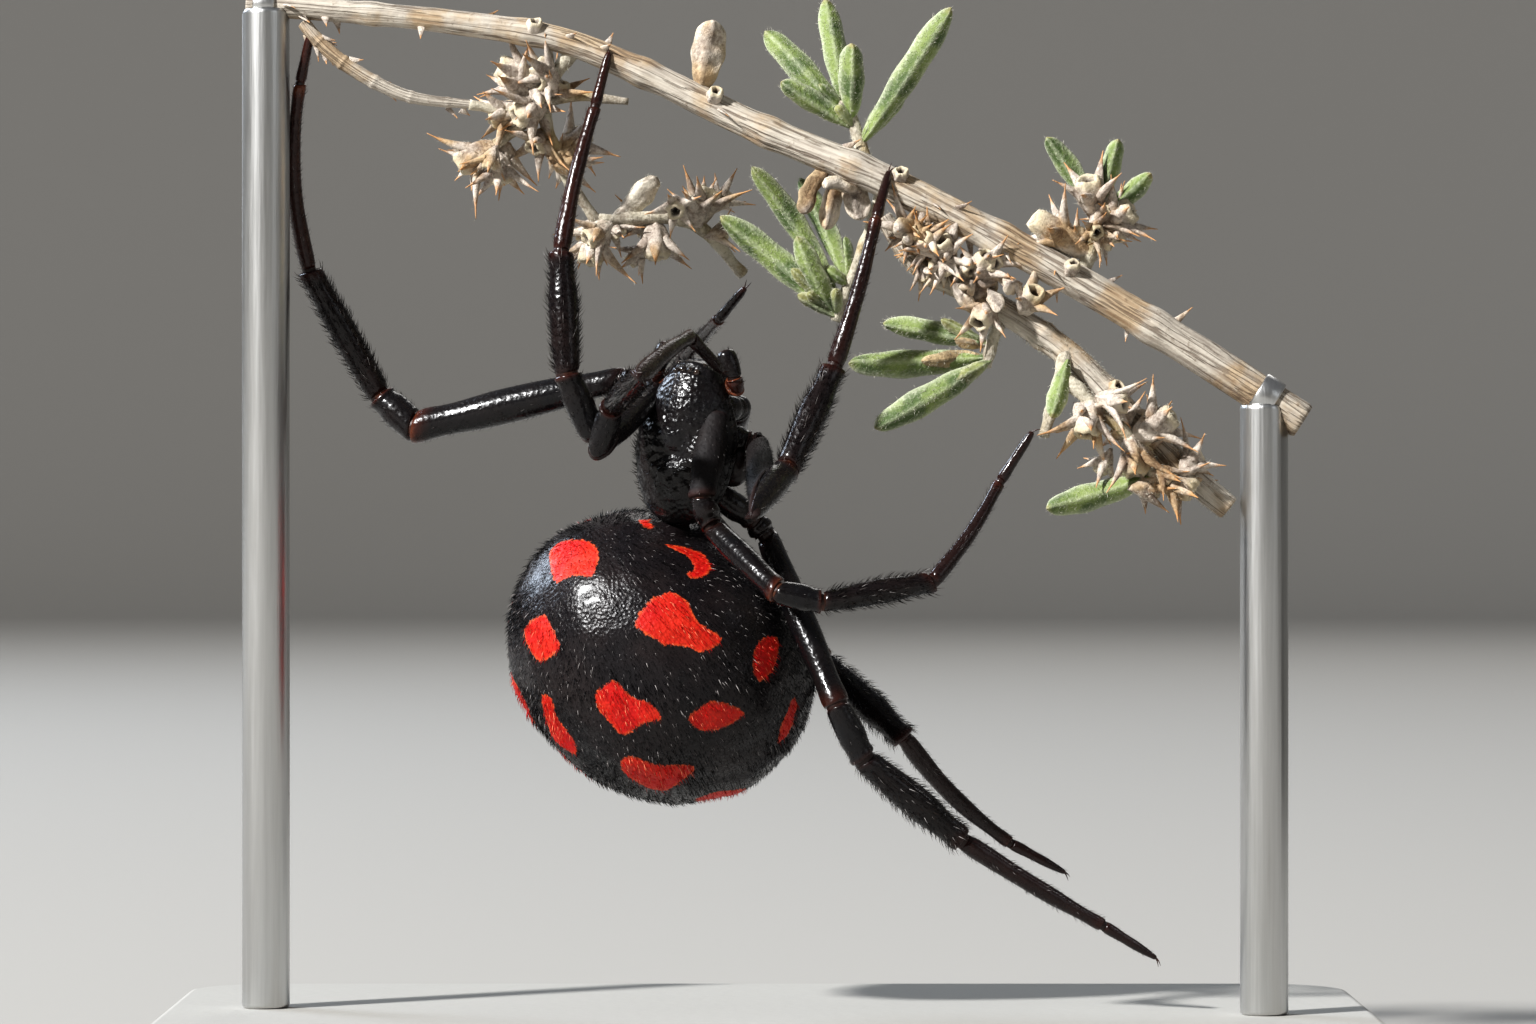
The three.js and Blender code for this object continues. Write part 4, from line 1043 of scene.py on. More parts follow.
def coat_tree():
    """Plants strands over a skin. The skin's own values say how they lie, how thickly they stand
    and how long they are."""
    tree = bpy.data.node_groups.new("bristle_coat", "GeometryNodeTree")
    sockets = {"Skin": "Geometry", "Strand": "Object", "Material": "Material", "Density": "Float",
               "Length": "Float", "Stand": "Float", "Scatter": "Float", "Seed": "Int"}
    for name, kind in sockets.items():
        tree.interface.new_socket(name=name, in_out="INPUT", socket_type="NodeSocket" + kind)
    tree.interface.new_socket(name="Coat", in_out="OUTPUT", socket_type="NodeSocketGeometry")
    wire = Wire(tree)
    start = tree.nodes.new("NodeGroupInput")
    given = {name: Wire(tree, start.outputs[name]) for name in sockets}

    def stored(name, kind="FLOAT"):
        return wire.node("GeometryNodeInputNamedAttribute", {"data_type": kind}, {"Name": name})

    def vectors(operation, first, second):
        values = {0: first, "Scale" if operation == "SCALE" else 1: second}
        return wire.node("ShaderNodeVectorMath", {"operation": operation}, values)

    def chance(low, high, shift):
        return wire.node("FunctionNodeRandomValue", {"data_type": "FLOAT"},
                         {2: low, 3: high, "Seed": given["Seed"] + shift}, out=1)

    spread = tree.nodes.new("GeometryNodeDistributePointsOnFaces")
    for name, value in (("Mesh", given["Skin"]), ("Density", given["Density"] * stored("thick")),
                        ("Seed", given["Seed"])):
        tree.links.new(value.socket, spread.inputs[name])
    points, normal = Wire(tree, spread.outputs["Points"]), Wire(tree, spread.outputs["Normal"])
    stray = wire.node("FunctionNodeRandomValue", {"data_type": "FLOAT_VECTOR"},
                      {0: (-1, -1, -1), 1: (1, 1, 1), "Seed": given["Seed"] + 1})
    lie = stored("lie", "FLOAT_VECTOR")
    upright = vectors("SCALE", normal, given["Stand"])
    aim = vectors("ADD", upright, vectors("SCALE", lie, 1 - given["Stand"]))
    aim = vectors("ADD", aim, vectors("SCALE", stray, given["Scatter"]))
    turned = wire.node("FunctionNodeAlignRotationToVector", {"axis": "Z"}, {"Vector": aim})
    turned = wire.node("FunctionNodeAlignRotationToVector", {"axis": "X", "pivot_axis": "Z"},
                       {"Rotation": turned, "Vector": lie})
    points = wire.node("GeometryNodeStoreNamedAttribute", {"data_type": "FLOAT", "domain": "POINT"},
                       {"Geometry": points, "Name": "tone", "Value": chance(0.0, 1.0, 2)})
    size = given["Length"] * stored("size") * chance(0.55, 1.15, 3)
    hair = wire.node("GeometryNodeObjectInfo", {}, {"Object": given["Strand"]}, out="Geometry")
    planted = wire.node("GeometryNodeInstanceOnPoints", {},
                        {"Points": points, "Instance": hair, "Rotation": turned, "Scale": size})
    coat = wire.node("GeometryNodeRealizeInstances", {}, {"Geometry": planted})
    patch = vectors("SUBTRACT", stored("strand", "FLOAT_VECTOR"), (0.5, 0.5, 0.0))
    patch = vectors("SCALE", patch, BAKE_PATCH)
    coat = wire.node("GeometryNodeStoreNamedAttribute", {"data_type": "FLOAT2", "domain": "CORNER"},
                     {"Geometry": coat, "Name": "OFBake",
                      "Value": vectors("ADD", stored("flat", "FLOAT_VECTOR"), patch)})
    coat = wire.node("GeometryNodeSetMaterial", {}, {"Geometry": coat, "Material": given["Material"]})
    end = tree.nodes.new("NodeGroupOutput")
    tree.links.new(coat.socket, end.inputs["Coat"])
    return tree


bristle_tree = coat_tree()


def grow(name, skin, hair, material, density, length, stand, scatter, seed):
    """One coat piece over a skin: hairs per square millimetre, and their length in millimetres."""
    coat = bpy.data.objects.new(name, skin.data)
    scene.collection.objects.link(coat)
    planter = coat.modifiers.new("coat", "NODES")
    planter.node_group = bristle_tree
    given = {"Strand": hair, "Material": material, "Density": density * 1e6, "Length": length * 0.001,
             "Stand": stand, "Scatter": scatter, "Seed": seed}
    for item in bristle_tree.interface.items_tree:
        if item.in_out == "INPUT" and item.name in given:
            planter[item.identifier] = given[item.name]
    hairs = bpy.data.meshes.new_from_object(coat.evaluated_get(bpy.context.evaluated_depsgraph_get()))
    coat.modifiers.remove(planter)
    coat.data = hairs
    hairs.name = name
    for extra in ("flat", "strand", "lie", "thick", "size", "membrane"):
        if extra in hairs.attributes:
            hairs.attributes.remove(hairs.attributes[extra])
    hairs.uv_layers["OFBake"].active = True
    hairs.uv_layers["OFBake"].active_render = True
    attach(coat, "root")
    return coat


hair_finish, wire, end = new_material("bristle")
tone = mark(wire, "tone")
redness = mark(wire, "distal")
dark_hair = tone.between(0.4, 1.0).tint(HAIR_BLACK, HAIR_BROWN)
dark_hair = (redness * 0.6).tint(dark_hair, HAIR_REDDISH)
# A few hairs are painted pale here: painted glints of light on the hairs, not a hair colour.
glint = tone.between(0.9, 0.96).tint(dark_hair, HAIR_PAINTED_GLINT)
finish_surface(wire, end, {"Base Color": glint, "Roughness": 0.36 + 0.12 * tone,
                           "Specular IOR Level": 0.09})

skin_hair_finish, wire, end = new_material("abdomen_bristle")
tone = mark(wire, "tone")
red = mark(wire, "spot").between(-0.03, 0.03)
# The hairs are black on the black skin and red on the spots. A few are painted pale on the black skin and
# rose on the red spots: painted glints of light on the hairs.
black_hair_and_glints = tone.between(0.9, 0.98).tint(HAIR_BLACK, ABDOMEN_HAIR_PAINTED_GLINT)
red_hair_and_glints = tone.between(0.72, 1.0).tint(ABDOMEN_HAIR_RED, ABDOMEN_HAIR_ROSE_GLINT)
colour = red.tint(black_hair_and_glints, red_hair_and_glints)
finish_surface(wire, end, {"Base Color": colour, "Roughness": 0.4 + 0.1 * tone,
                           "Specular IOR Level": 0.1})

fine = strand("fine_strand", thickness=0.045, curl=0.22)
stiff = strand("stiff_strand", thickness=0.036, curl=0.28)
grow("abdomen_coat", abdomen_piece, fine, skin_hair_finish,
     density=66, length=0.2, stand=0.2, scatter=0.1, seed=1)
grow("abdomen_fringe", abdomen_piece, fine, skin_hair_finish,
     density=46, length=0.3, stand=0.5, scatter=0.16, seed=2)
grow("shield_coat", shield_piece, fine, hair_finish,
     density=70, length=0.26, stand=0.5, scatter=0.3, seed=3)
for order, (leg, piece) in enumerate(leg_pieces.items()):
    grow("leg_" + leg + "_coat", piece, stiff, hair_finish,
         density=50, length=0.29, stand=0.54, scatter=0.15, seed=10 + order)
for order, (side, piece) in enumerate(palp_pieces.items()):
    grow("feeler_" + side + "_coat", piece, stiff, hair_finish,
         density=110, length=0.24, stand=0.5, scatter=0.25, seed=30 + order)
grow("mouth_coat", mouth_piece, stiff, hair_finish,
     density=60, length=0.16, stand=0.5, scatter=0.3, seed=34)
grow("spinnerets_coat", spinneret_piece, fine, hair_finish,
     density=60, length=0.18, stand=0.4, scatter=0.3, seed=35)

# Perch
# A cut length of a dry shrub's twig: a pale grey-tan stem with fissured bark and leaf scars, a
# thin twig and a lower branch that leave it, leafy shoots with felted grey-green leaves, and
# sprays of dry spiny cups, the calyces of last year's flowers.

STEM_ROUTE = [(-16.4, 1.4, 34), (-13.8, 1.3, 33.8), (-10, 1.1, 33.4), (-6.5, 0.9, 32.8), (-4, 0.6, 31.8),
              (-0.3, 0.1, 30), (3.5, -0.5, 28.4), (7.2, -0.9, 26.5), (11.9, -1.2, 23.8), (16.6, -1.4, 20.8)]
STEM_RADII = [0.38, 0.4, 0.42, 0.45, 0.48, 0.52, 0.55, 0.56, 0.58, 0.6]
LEFT_TWIG_ROUTE = [(-14.6, 1.3, 33.4), (-14.2, 1.2, 32.9), (-13.3, 1.2, 32.1), (-11.4, 1.2, 31.1),
                   (-9.2, 1.3, 30.8)]
LEFT_TWIG_RADII = [0.24, 0.26, 0.26, 0.22, 0.16]
LOWER_BRANCH_ROUTE = [(3.6, -0.3, 27.2), (4.6, -0.4, 25.8), (6.8, -0.6, 24.6), (9.2, -1, 23),
                      (11.2, -1.2, 21), (13.1, -1.3, 19.1), (14.3, -1.3, 18.1)]
LOWER_BRANCH_RADII = [0.3, 0.38, 0.42, 0.46, 0.48, 0.46, 0.42]
BARK_DRAW = 0.06
BARK_INSET = 0.03
BARK_TAN = ((0.27, 0.18, 0.105, 1), (0.5, 0.39, 0.26, 1))
BARK_GREY = ((0.3, 0.255, 0.21, 1), (0.56, 0.51, 0.43, 1))
CRACK_BROWN = (0.1, 0.065, 0.04, 1)
SPECK_BROWN = (0.13, 0.085, 0.05, 1)


def through(points, count):
    """A smooth line of points through a few bends, and each point's place from 0 to 1."""
    points = np.array(points, float)
    steps = np.linalg.norm(np.diff(points, axis=0), axis=1) ** 0.5
    places = np.concatenate([[0], np.cumsum(steps)])
    t = np.linspace(0, 1, count)
    bends = [(place, point) for place, point in zip(places / places[-1], points)]
    return eased(bends, t), t


def bark_rows(route, radii, count, sides, seed, knots):
    """Rings of a twig with lengthwise cracks, a few flats and a swelling at each knot, and each
    point's place on the bark in millimetres, drawn out along the twig as its grain is."""
    centres, t = through(route, count)
    thick = np.interp(t, np.linspace(0, 1, len(radii)), radii) - BARK_INSET
    for knot in knots:
        thick = thick * (1 + 0.14 * fade(t - knot, 0.012))
    thick[[0, -1]] *= 0.93
    rows = ring_rows(centres, thick, sides)
    spoke = rows - centres[:, None]
    turn = full_turn(sides)
    length = np.append(0, np.cumsum(np.linalg.norm(np.diff(centres, axis=0), axis=1)))
    across, over, along = np.cos(turn) / 2, np.sin(turn) / 2, length[:, None] * BARK_DRAW
    grain = np.stack(np.broadcast_arrays(across, over, along), -1)
    crack = -0.09 * np.clip(1 - np.abs(lumps(grain, 0.2, seed)) / 0.16, 0, 1)
    crack *= 0.5 + 0.5 * lumps(grain, 0.6, seed + 2)
    swell = 0.05 * lumps(grain * [1, 1, 4], 0.8, seed + 1) + 0.025 * lumps(grain, 0.12, seed + 3)
    return rows + spoke * (crack + swell)[..., None], grain


bark_finish, wire, end = new_material("bark")
place = place_in(wire)
grain = wire.node("ShaderNodeAttribute", {"attribute_name": "grain"}, out="Vector")
fibre = noise(wire, grain, 9.0, 5.0, 0.62)
crack = noise(wire, grain, 3.2, 3.0, 0.6)
patch = noise(wire, place, 420.0, 4.0, 0.6)
speck = noise(wire, place, 4200.0, 3.0, 0.6)
tan = fibre.between(0.28, 0.7).tint(*BARK_TAN)
grey = fibre.between(0.28, 0.66).tint(*BARK_GREY)
colour = patch.between(0.38, 0.54).tint(tan, grey)
gap = (1 - wire.maths("ABSOLUTE", crack - 0.5).between(0.008, 0.035)) * 0.6
colour = gap.tint(colour, CRACK_BROWN)
colour = (speck.between(0.6, 0.72) * 0.5).tint(colour, SPECK_BROWN)
finish_surface(wire, end, {"Base Color": colour, "Roughness": 0.7 + 0.2 * fibre},
               bump=fibre * 0.5 + speck * 0.3 - gap * 0.5, depth=0.00009)

# Each twig's route, radii, rings, sides, seed and the places of its knots.
BARK_PIECES = {
    "perch_stem": (STEM_ROUTE, STEM_RADII, 420, 72, 3, (0.13, 0.27, 0.4, 0.52, 0.6, 0.74, 0.87)),
    "perch_twig_left": (LEFT_TWIG_ROUTE, LEFT_TWIG_RADII, 160, 44, 13, (0.2, 0.38, 0.55, 0.72, 0.88)),
    "perch_branch_lower": (LOWER_BRANCH_ROUTE, LOWER_BRANCH_RADII, 220, 64, 23, (0.2, 0.45, 0.62, 0.8)),
}
bark_pieces = {}
for name, (route, radii, count, sides, seed, knots) in BARK_PIECES.items():
    rows, grain = bark_rows(route, radii, count, sides, seed, knots)
    twig = Skin()
    twig.sheet(rows, grain=grain, thick=1, size=1, lie=np.gradient(rows, axis=0))
    piece = twig.build(name + "_bark", bark_finish)
    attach(piece, "root")
    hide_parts(name)
    bark_pieces[name] = piece

# Each shoot's stalk, and its leaves as foot, tip and half width. Each spray's stems, its cups as
# foot and mouth, and its leaves.
LEAFY_SHOOTS = {
    "perch_leaves_top": {
        "stalk": [(3.15, -0.45, 28.6), (2.9, -0.2, 29.4), (2.6, 0, 30.4)],
        "leaves": [((2.6, 0, 30.1), (-0.1, 1, 33.1), 0.4), ((2.5, 0.1, 30.3), (1.8, 0.8, 34.1), 0.36),
                   ((2.6, 0, 30.2), (2.6, -0.6, 32.6), 0.38), ((2.9, -0.2, 29.5), (5.7, -0.8, 33.7), 0.4),
                   ((2.7, 0, 30), (0.4, -0.6, 31.4), 0.33)],
    },
    "perch_leaves_middle": {
        "stalk": [(3.6, -0.3, 28.2), (3.2, 0.1, 26.8), (2.1, 0.6, 24)],
        "leaves": [((2.3, 0.6, 24.1), (-1.5, 1.2, 27.3), 0.42), ((2.2, 0.5, 24.6), (-0.5, 0.2, 28.8), 0.36),
                   ((2.5, 0.4, 25.1), (1, 1.2, 28.5), 0.34), ((2.2, 0.6, 24.2), (0.9, -0.2, 26.6), 0.34)],
    },
    "perch_leaves_lower": {
        "stalk": [(7.4, -0.6, 24.4), (7, -0.8, 23.4), (6.8, -0.9, 22.5)],
        "leaves": [((6.9, -0.8, 22.8), (2.5, -1.2, 22.6), 0.42),
                   ((6.9, -0.9, 22.7), (3.3, -1.8, 20.6), 0.42), ((6.9, -0.8, 23.2), (3.6, 0, 23.9), 0.34)],
    },
}
DRY_SPRAYS = {
    "perch_bracts_left": {
        "stems": [[(-6.1, 0.9, 32.6), (-7, 1.6, 31), (-6.6, 2, 29.1), (-5.3, 2.5, 27)],
                  [(-5.4, 2.5, 27.2), (-2.5, 3.1, 27.2), (-0.8, 4.2, 25.6)],
                  [(-7, 1.6, 30.8), (-8.6, 1.9, 29.6)]],
        "cups": [((-8.6, 1.9, 29.6), (-9.8, 2, 28.9)), ((-7, 1.6, 30.9), (-8, 1.1, 30.4)),
                 ((-7, 1.5, 31.3), (-8.5, 1.7, 32.1)), ((-6.5, 2, 29.3), (-5.8, 2.8, 30)),
                 ((-5.3, 2.5, 27.1), (-5.7, 2.2, 25.8)), ((-3.6, 2.9, 27.2), (-3.5, 2.7, 26)),
                 ((-2.3, 3.2, 27.1), (-1.8, 3.1, 28.3))],
        "leaves": [((-5, 2.6, 27.1), (-3.5, 2.6, 28.6), 0.36)],
    },
    "perch_bracts_right": {
        "stems": [[(9.6, -1, 24.9), (10.1, -0.8, 26.4), (10.3, -0.7, 27.6)]],
        "cups": [((10, -0.8, 26), (8.2, -1.1, 27.2)), ((10.2, -0.8, 26.8), (11.4, -1.2, 27.4)),
                 ((10.2, -0.7, 27.2), (9.9, -1.4, 28.4))],
        "leaves": [((10.2, -0.7, 27.2), (8.7, -0.2, 29.7), 0.34),
                   ((10.3, -0.7, 27.4), (10.9, -0.9, 29.6), 0.3),
                   ((10.2, -0.8, 27), (11.9, -1.4, 28.5), 0.3)],
    },
    "perch_bracts_lower": {
        "stems": [[(9.3, -1.2, 23), (8.95, -1.9, 21.8), (8.52, -2.42, 20.35)],
                  [(9.1, -1.7, 22.2), (10, -2.1, 21.4), (11.3, -2, 20.2), (12, -2, 19)]],
        "cups": [((11.2, -2, 20.3), (11.4, -2.3, 19.1)), ((10, -2.1, 21.4), (9.8, -2.6, 20.3)),
                 ((11.9, -2, 19.2), (13.2, -2.3, 18.6)), ((11.3, -2, 20.3), (12.6, -2.3, 21))],
        "leaves": [((12, -2, 19.1), (8.6, -2.3, 18.1), 0.4), ((9.3, -1.7, 22.7), (8.75, -2.4, 20.9), 0.3)],
    },
}
STALK_RADIUS = 0.24
LEAF_THICKNESS = 0.3
CUP_RADIUS = 0.42
SMALL_LEAVES = 2
SMALL_CUPS = 3
# Widths of a leaf along its length, and of a cup from its foot over the rim and down inside.
LEAF_OUTLINE = [(0, 0.22), (0.12, 0.5), (0.35, 0.86), (0.58, 1), (0.78, 0.93), (0.9, 0.72), (0.97, 0.4),
                (1, 0.08)]
CUP_PROFILE = [(-0.12, 0.25), (0.0, 0.42), (0.15, 0.72), (0.35, 0.95), (0.55, 1.05), (0.7, 1.04),
               (0.8, 0.98), (0.9, 0.92), (0.96, 0.8), (0.97, 0.66), (0.93, 0.52), (0.82, 0.42),
               (0.6, 0.36), (0.45, 0.26)]
LEAF_GREEN = ((0.06, 0.1, 0.024, 1), (0.2, 0.26, 0.075, 1))
LEAF_FELT = (0.52, 0.55, 0.4, 1)
LEAF_TIP = (0.34, 0.2, 0.1, 1)
DRY_BROWN = ((0.17, 0.1, 0.05, 1), (0.5, 0.36, 0.21, 1))
DRY_GREY = ((0.24, 0.19, 0.155, 1), (0.62, 0.55, 0.47, 1))
THORN_ORANGE = (0.5, 0.25, 0.09, 1)
RIM_STRAW = (0.62, 0.54, 0.36, 1)
HOLLOW_PAINTED_SHADE = (0.03, 0.02, 0.013, 1)


def add_leaf(skin, foot, tip, half_width, draw, dry=0.0):
    """A felted oblong leaf with a sunk midrib, rolled edges and a blunt tip."""
    foot, tip = np.array(foot, float), np.array(tip, float)
    length = np.linalg.norm(tip - foot)
    way = (tip - foot) / length
    side = unit(np.cross(way, [0.15, 1.0, 0.1]) + 0.25 * draw.normal(size=3))
    side = unit(side - (side @ way) * way)
    up = np.cross(side, way)
    t = np.sin(np.linspace(-1, 1, 46) * math.pi / 2) / 2 + 0.5
    width = eased(LEAF_OUTLINE, t) * half_width * (1.07 + 0.05 * np.sin(t * 19 + 7 * foot[2]))
    thick = np.minimum(width, LEAF_THICKNESS / 2) * 0.9
    arch = draw.uniform(-0.13, 0.15) * length
    twist = draw.uniform(-0.5, 0.5)
    turn = full_turn(26)
    across, over = np.cos(turn), np.sin(turn)
    fold = 0.62 * np.abs(across) ** 1.6 - 0.3
    rib = 0.35 * fade(across, 0.2) * np.minimum(over, 0) - 0.45 * fade(across, 0.16) * np.maximum(over, 0)
    rows = []
    for place, half, deep in zip(t, width, thick):
        lean = twist * (place - 0.5)
        here_side = side * math.cos(lean) + up * math.sin(lean)
        here_up = up * math.cos(lean) - side * math.sin(lean)
        centre = foot + way * length * place + up * arch * math.sin(math.pi * place) * 0.8
        lift = deep * (over * (0.55 + 0.45 * np.abs(over)) + rib) + half * fold * 0.7
        rows.append(centre + half * across[:, None] * here_side + lift[:, None] * here_up)
    rows = np.array(rows)
    if dry > 0.8:
        crumple = lumps(rows, 0.7, int(draw.integers(1e6)))
        crumple += 0.4 * lumps(rows, 0.3, int(draw.integers(1e6)))
        rows = rows + 0.16 * crumple[..., None] * up * np.minimum(1, t / 0.3)[:, None, None]
    skin.sheet(rows, lie=way, along=t[:, None] * (1 - 0.5 * dry), dry=dry, thick=1, size=1,
               edge=(np.abs(across) ** 3 * (1 - 0.6 * dry))[None], rib=fade(across, 0.15)[None])


def add_spike(skin, root, way, out, length, width, curl):
    """A pointed papery tooth that narrows to a stiff thorn and curls outwards."""
    t = np.linspace(0, 1, 16)
    centres = root + np.outer(t * length, way) + np.outer(t ** 2 * curl * length, out)
    radii = width * (0.75 * np.clip(1 - t / 0.8, 0, 1) ** 0.9 + 0.25 * (1 - t) ** 0.6) + 0.01
    rows = ring_rows(centres, radii, 10, across=np.cross(way, out))
    depth = (rows - centres[:, None]) @ unit(out)
    rows = rows - 0.6 * depth[..., None] * unit(out)
    skin.sheet(rows, lie=way, along=t[:, None], dry=1, thick=0.5, size=1, edge=0, rib=0)


def add_cup(skin, foot, mouth, radius, draw, teeth=5):
    """A dry calyx: a ribbed cup with a crumpled floret in its mouth and five spiny teeth."""
    foot, mouth = np.array(foot, float), np.array(mouth, float)
    length = np.linalg.norm(mouth - foot)
    way = (mouth - foot) / length
    side = unit(np.cross(way, [0.1, 1.0, 0.05]))
    other = np.cross(way, side)
    turn = full_turn(30)
    ribs = (radius * (1 + 0.09 * np.cos(5 * turn)))[:, None]
    spoke = np.cos(turn)[:, None] * side + np.sin(turn)[:, None] * other
    rows = np.array([foot + way * length * along + wide * ribs * spoke for along, wide in CUP_PROFILE])
    seed = int(draw.integers(1e6))
    crumple = 0.06 * lumps(rows, 0.22, seed)[..., None] * way
    rows = rows + crumple + 0.03 * lumps(rows, 0.14, seed + 1)[..., None] * side
    t = np.linspace(0, 1, len(CUP_PROFILE))[:, None]
    # The rib value marks the cup's hollow inside, which the finish darkens as painted shade.
    skin.sheet(rows, lie=way, along=t * 0.4, dry=1, thick=1, size=1,
               edge=smooth(0.4, 0.55, t) * smooth(0.82, 0.75, t), rib=smooth(0.78, 0.9, t))
    for k in range(teeth):
        angle = 2 * math.pi * (k + 0.3 * draw.random()) / teeth
        out = math.cos(angle) * side + math.sin(angle) * other
        root = foot + way * length * 0.55 + out * radius * 0.8
        aim = unit(way * draw.uniform(0.4, 1.0) + out * draw.uniform(0.5, 0.9))
        length_out = radius * draw.uniform(2.2, 3.3)
        add_spike(skin, root, aim, out, length_out, radius * 0.62, draw.uniform(0, 0.35))


def add_stalk(skin, route, radius):
    """A knobbly stalk that gets thinner towards its end."""
    centres, t = through(route, 40)
    rows = ring_rows(centres, radius * (1 - 0.25 * t), 16)
    spoke = rows - centres[:, None]
    rows = rows + spoke * 0.16 * lumps(rows, 0.35, 7)[..., None]
    skin.sheet(rows, lie=unit(centres[-1] - centres[0]), along=0.2, dry=0.8, thick=1, size=1,
               edge=0, rib=0)


growth_finish, wire, end = new_material("leaf_and_bract")
place = place_in(wire)
felt = noise(wire, place, 9000.0, 3.0, 0.7)
mottle = noise(wire, place, 1300.0, 3.0)
dryness = mark(wire, "dry")
along_leaf = mark(wire, "along")
rib = mark(wire, "rib")
edge = mark(wire, "edge")
green = mottle.between(0.36, 0.62).tint(*LEAF_GREEN)
felted = (rib * 0.7 + edge * 0.75 + 0.35 * felt.between(0.45, 0.7)).between(0.0, 1.2)
green = felted.tint(green, LEAF_FELT)
tip = (along_leaf + 0.2 * (mottle - 0.5)).between(0.93, 1.05) * 0.6
green = tip.tint(green, LEAF_TIP)
brown = (mottle * 0.6 + felt * 0.4).between(0.35, 0.65).tint(*DRY_BROWN)
grey_brown = (mottle * 0.5 + felt * 0.5).between(0.35, 0.62).tint(*DRY_GREY)
brown = noise(wire, place, 520.0).between(0.38, 0.52).tint(brown, grey_brown)
brown = (along_leaf.between(0.55, 0.85) * 0.85).tint(brown, THORN_ORANGE)
brown = (edge * 0.6).tint(brown, RIM_STRAW)
# The hollow inside each cup and the sunk midrib of dry leaves are darkened here as painted shade.
brown = (rib * 0.85).tint(brown, HOLLOW_PAINTED_SHADE)
colour = dryness.tint(green, brown)
finish_surface(wire, end, {"Base Color": colour, "Roughness": 0.68 + 0.2 * felt},
               bump=felt * 0.6 + mottle * 0.4, depth=0.00008)

growth_pieces = {}
for order, (name, shoot) in enumerate({**LEAFY_SHOOTS, **DRY_SPRAYS}.items()):
    draw = np.random.default_rng(40 + order)
    growth = Skin(cells=12)
    for stem in shoot.get("stems", [shoot.get("stalk")]):
        add_stalk(growth, stem, STALK_RADIUS)
    for foot, tip, half_width in shoot["leaves"]:
        add_leaf(growth, foot, tip, half_width, draw, dry=0.9 if name == "perch_bracts_left" else 0.0)
        if "stalk" in shoot:
            for _ in range(SMALL_LEAVES):
                bud = np.array(foot) + np.subtract(tip, foot) * draw.uniform(0.3, 0.5)
                bud = bud + draw.normal(size=3) * 0.35
                add_leaf(growth, foot, bud, half_width * 0.55, draw, dry=draw.choice([0.0, 0.2, 0.9]))
    for foot, mouth in shoot.get("cups", []):
        add_cup(growth, foot, mouth, CUP_RADIUS, draw)
        for _ in range(SMALL_CUPS):
            near = np.array(foot) + draw.normal(size=3) * 0.35
            aim = unit(np.subtract(mouth, foot) + draw.normal(size=3) * 0.9)
            add_cup(growth, near, near + aim * draw.uniform(0.6, 1.0), draw.uniform(0.24, 0.36), draw)
    piece = growth.build(name + "_growth", growth_finish)
    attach(piece, "root")
    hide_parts(name)
    "leaf" if "leaves" in name else "dry_bract"
    growth_pieces[name] = piece

# Scraps on the stem
# Dry papery leaves and empty cups cling to the stem, in a tangle over the lower branch and in
# the left spray, where the left twig's thin end runs on. Broken twig stubs, open in the middle,
# short stiff thorns and flakes stand on the bark.

STEM_CUPS = [((4.9, -0.5, 26.2), (4.5, -1.3, 26.9)), ((5.7, -0.7, 25.7), (5.3, -1.6, 26.5)),
             ((6.5, -0.8, 25.1), (6.8, -1.6, 26.0)), ((7.0, -0.8, 24.7), (6.5, -1.7, 23.8)),
             ((7.9, -1.0, 24.2), (8.3, -1.8, 24.9))]
SPRAY_CUPS = [((-7.6, 1.5, 31.0), (-8.3, 1.4, 31.8)), ((-7.2, 2.2, 30.9), (-7.3, 1.4, 30.75)),
              ((-6.9, 1.7, 30.9), (-6.5, 1.5, 31.6)), ((-7.9, 1.7, 30.7), (-8.8, 1.6, 30.4)),
              ((-7.1, 2.0, 30.0), (-7.4, 1.6, 29.4)), ((-8.5, 1.9, 29.3), (-8.4, 1.8, 28.3))]
STEM_LEAVES = [((-2.1, 0.5, 31.1), (-1.7, 0.3, 33.4), 0.5), ((1.9, -0.1, 28.9), (1.1, -0.7, 27.3), 0.36),
               ((2.5, -0.2, 28.7), (2.9, -0.6, 27.1), 0.38), ((2.2, 0.0, 28.7), (1.8, -0.2, 26.8), 0.3),
               ((5.2, -0.6, 26.0), (6.1, -1.2, 27.2), 0.3)]
STEM_STUBS = [((-1.75, 0.2, 30.75), (-1.6, -0.35, 31.2)), ((4.05, -0.6, 28.2), (4.15, -1.15, 28.65)),
              ((9.3, -1.3, 25.3), (9.5, -1.75, 25.75)), ((-7.4, 0.9, 32.9), (-7.3, 0.5, 33.4)),
              ((10.6, -1.3, 21.6), (10.9, -1.75, 21.95))]
SCRAP_CUP_RADIUS = 0.36
STUB_RADIUS = 0.24
THORNS = 22
TANGLE_ROUTE = [(2.9, -0.5, 28.0), (4.2, -0.8, 26.7), (5.6, -1.0, 25.8), (7.2, -1.1, 24.9),
                (8.2, -1.1, 24.0)]
TANGLE_CUPS = 11
TANGLE_LEAVES = 13
TWIG_END = [(-9.4, 1.3, 30.82), (-8, 1.5, 30.6), (-6.2, 1.4, 31.05), (-4.4, 1.2, 30.9)]
TWIG_END_RADIUS = 0.17
TWIG_SCALES = 16
FELT_GREY = (0.34, 0.32, 0.24, 1)
FELT_PALE = (0.74, 0.72, 0.62, 1)


def bark_spot(line, low, high):
    """A random place on a twig: its number on the line, the way along and a way out of the bark."""
    k = int(draw.integers(low, high))
    way = unit(line[k + 3] - line[k - 3])
    return k, way, unit(np.cross(way, draw.normal(size=3)))


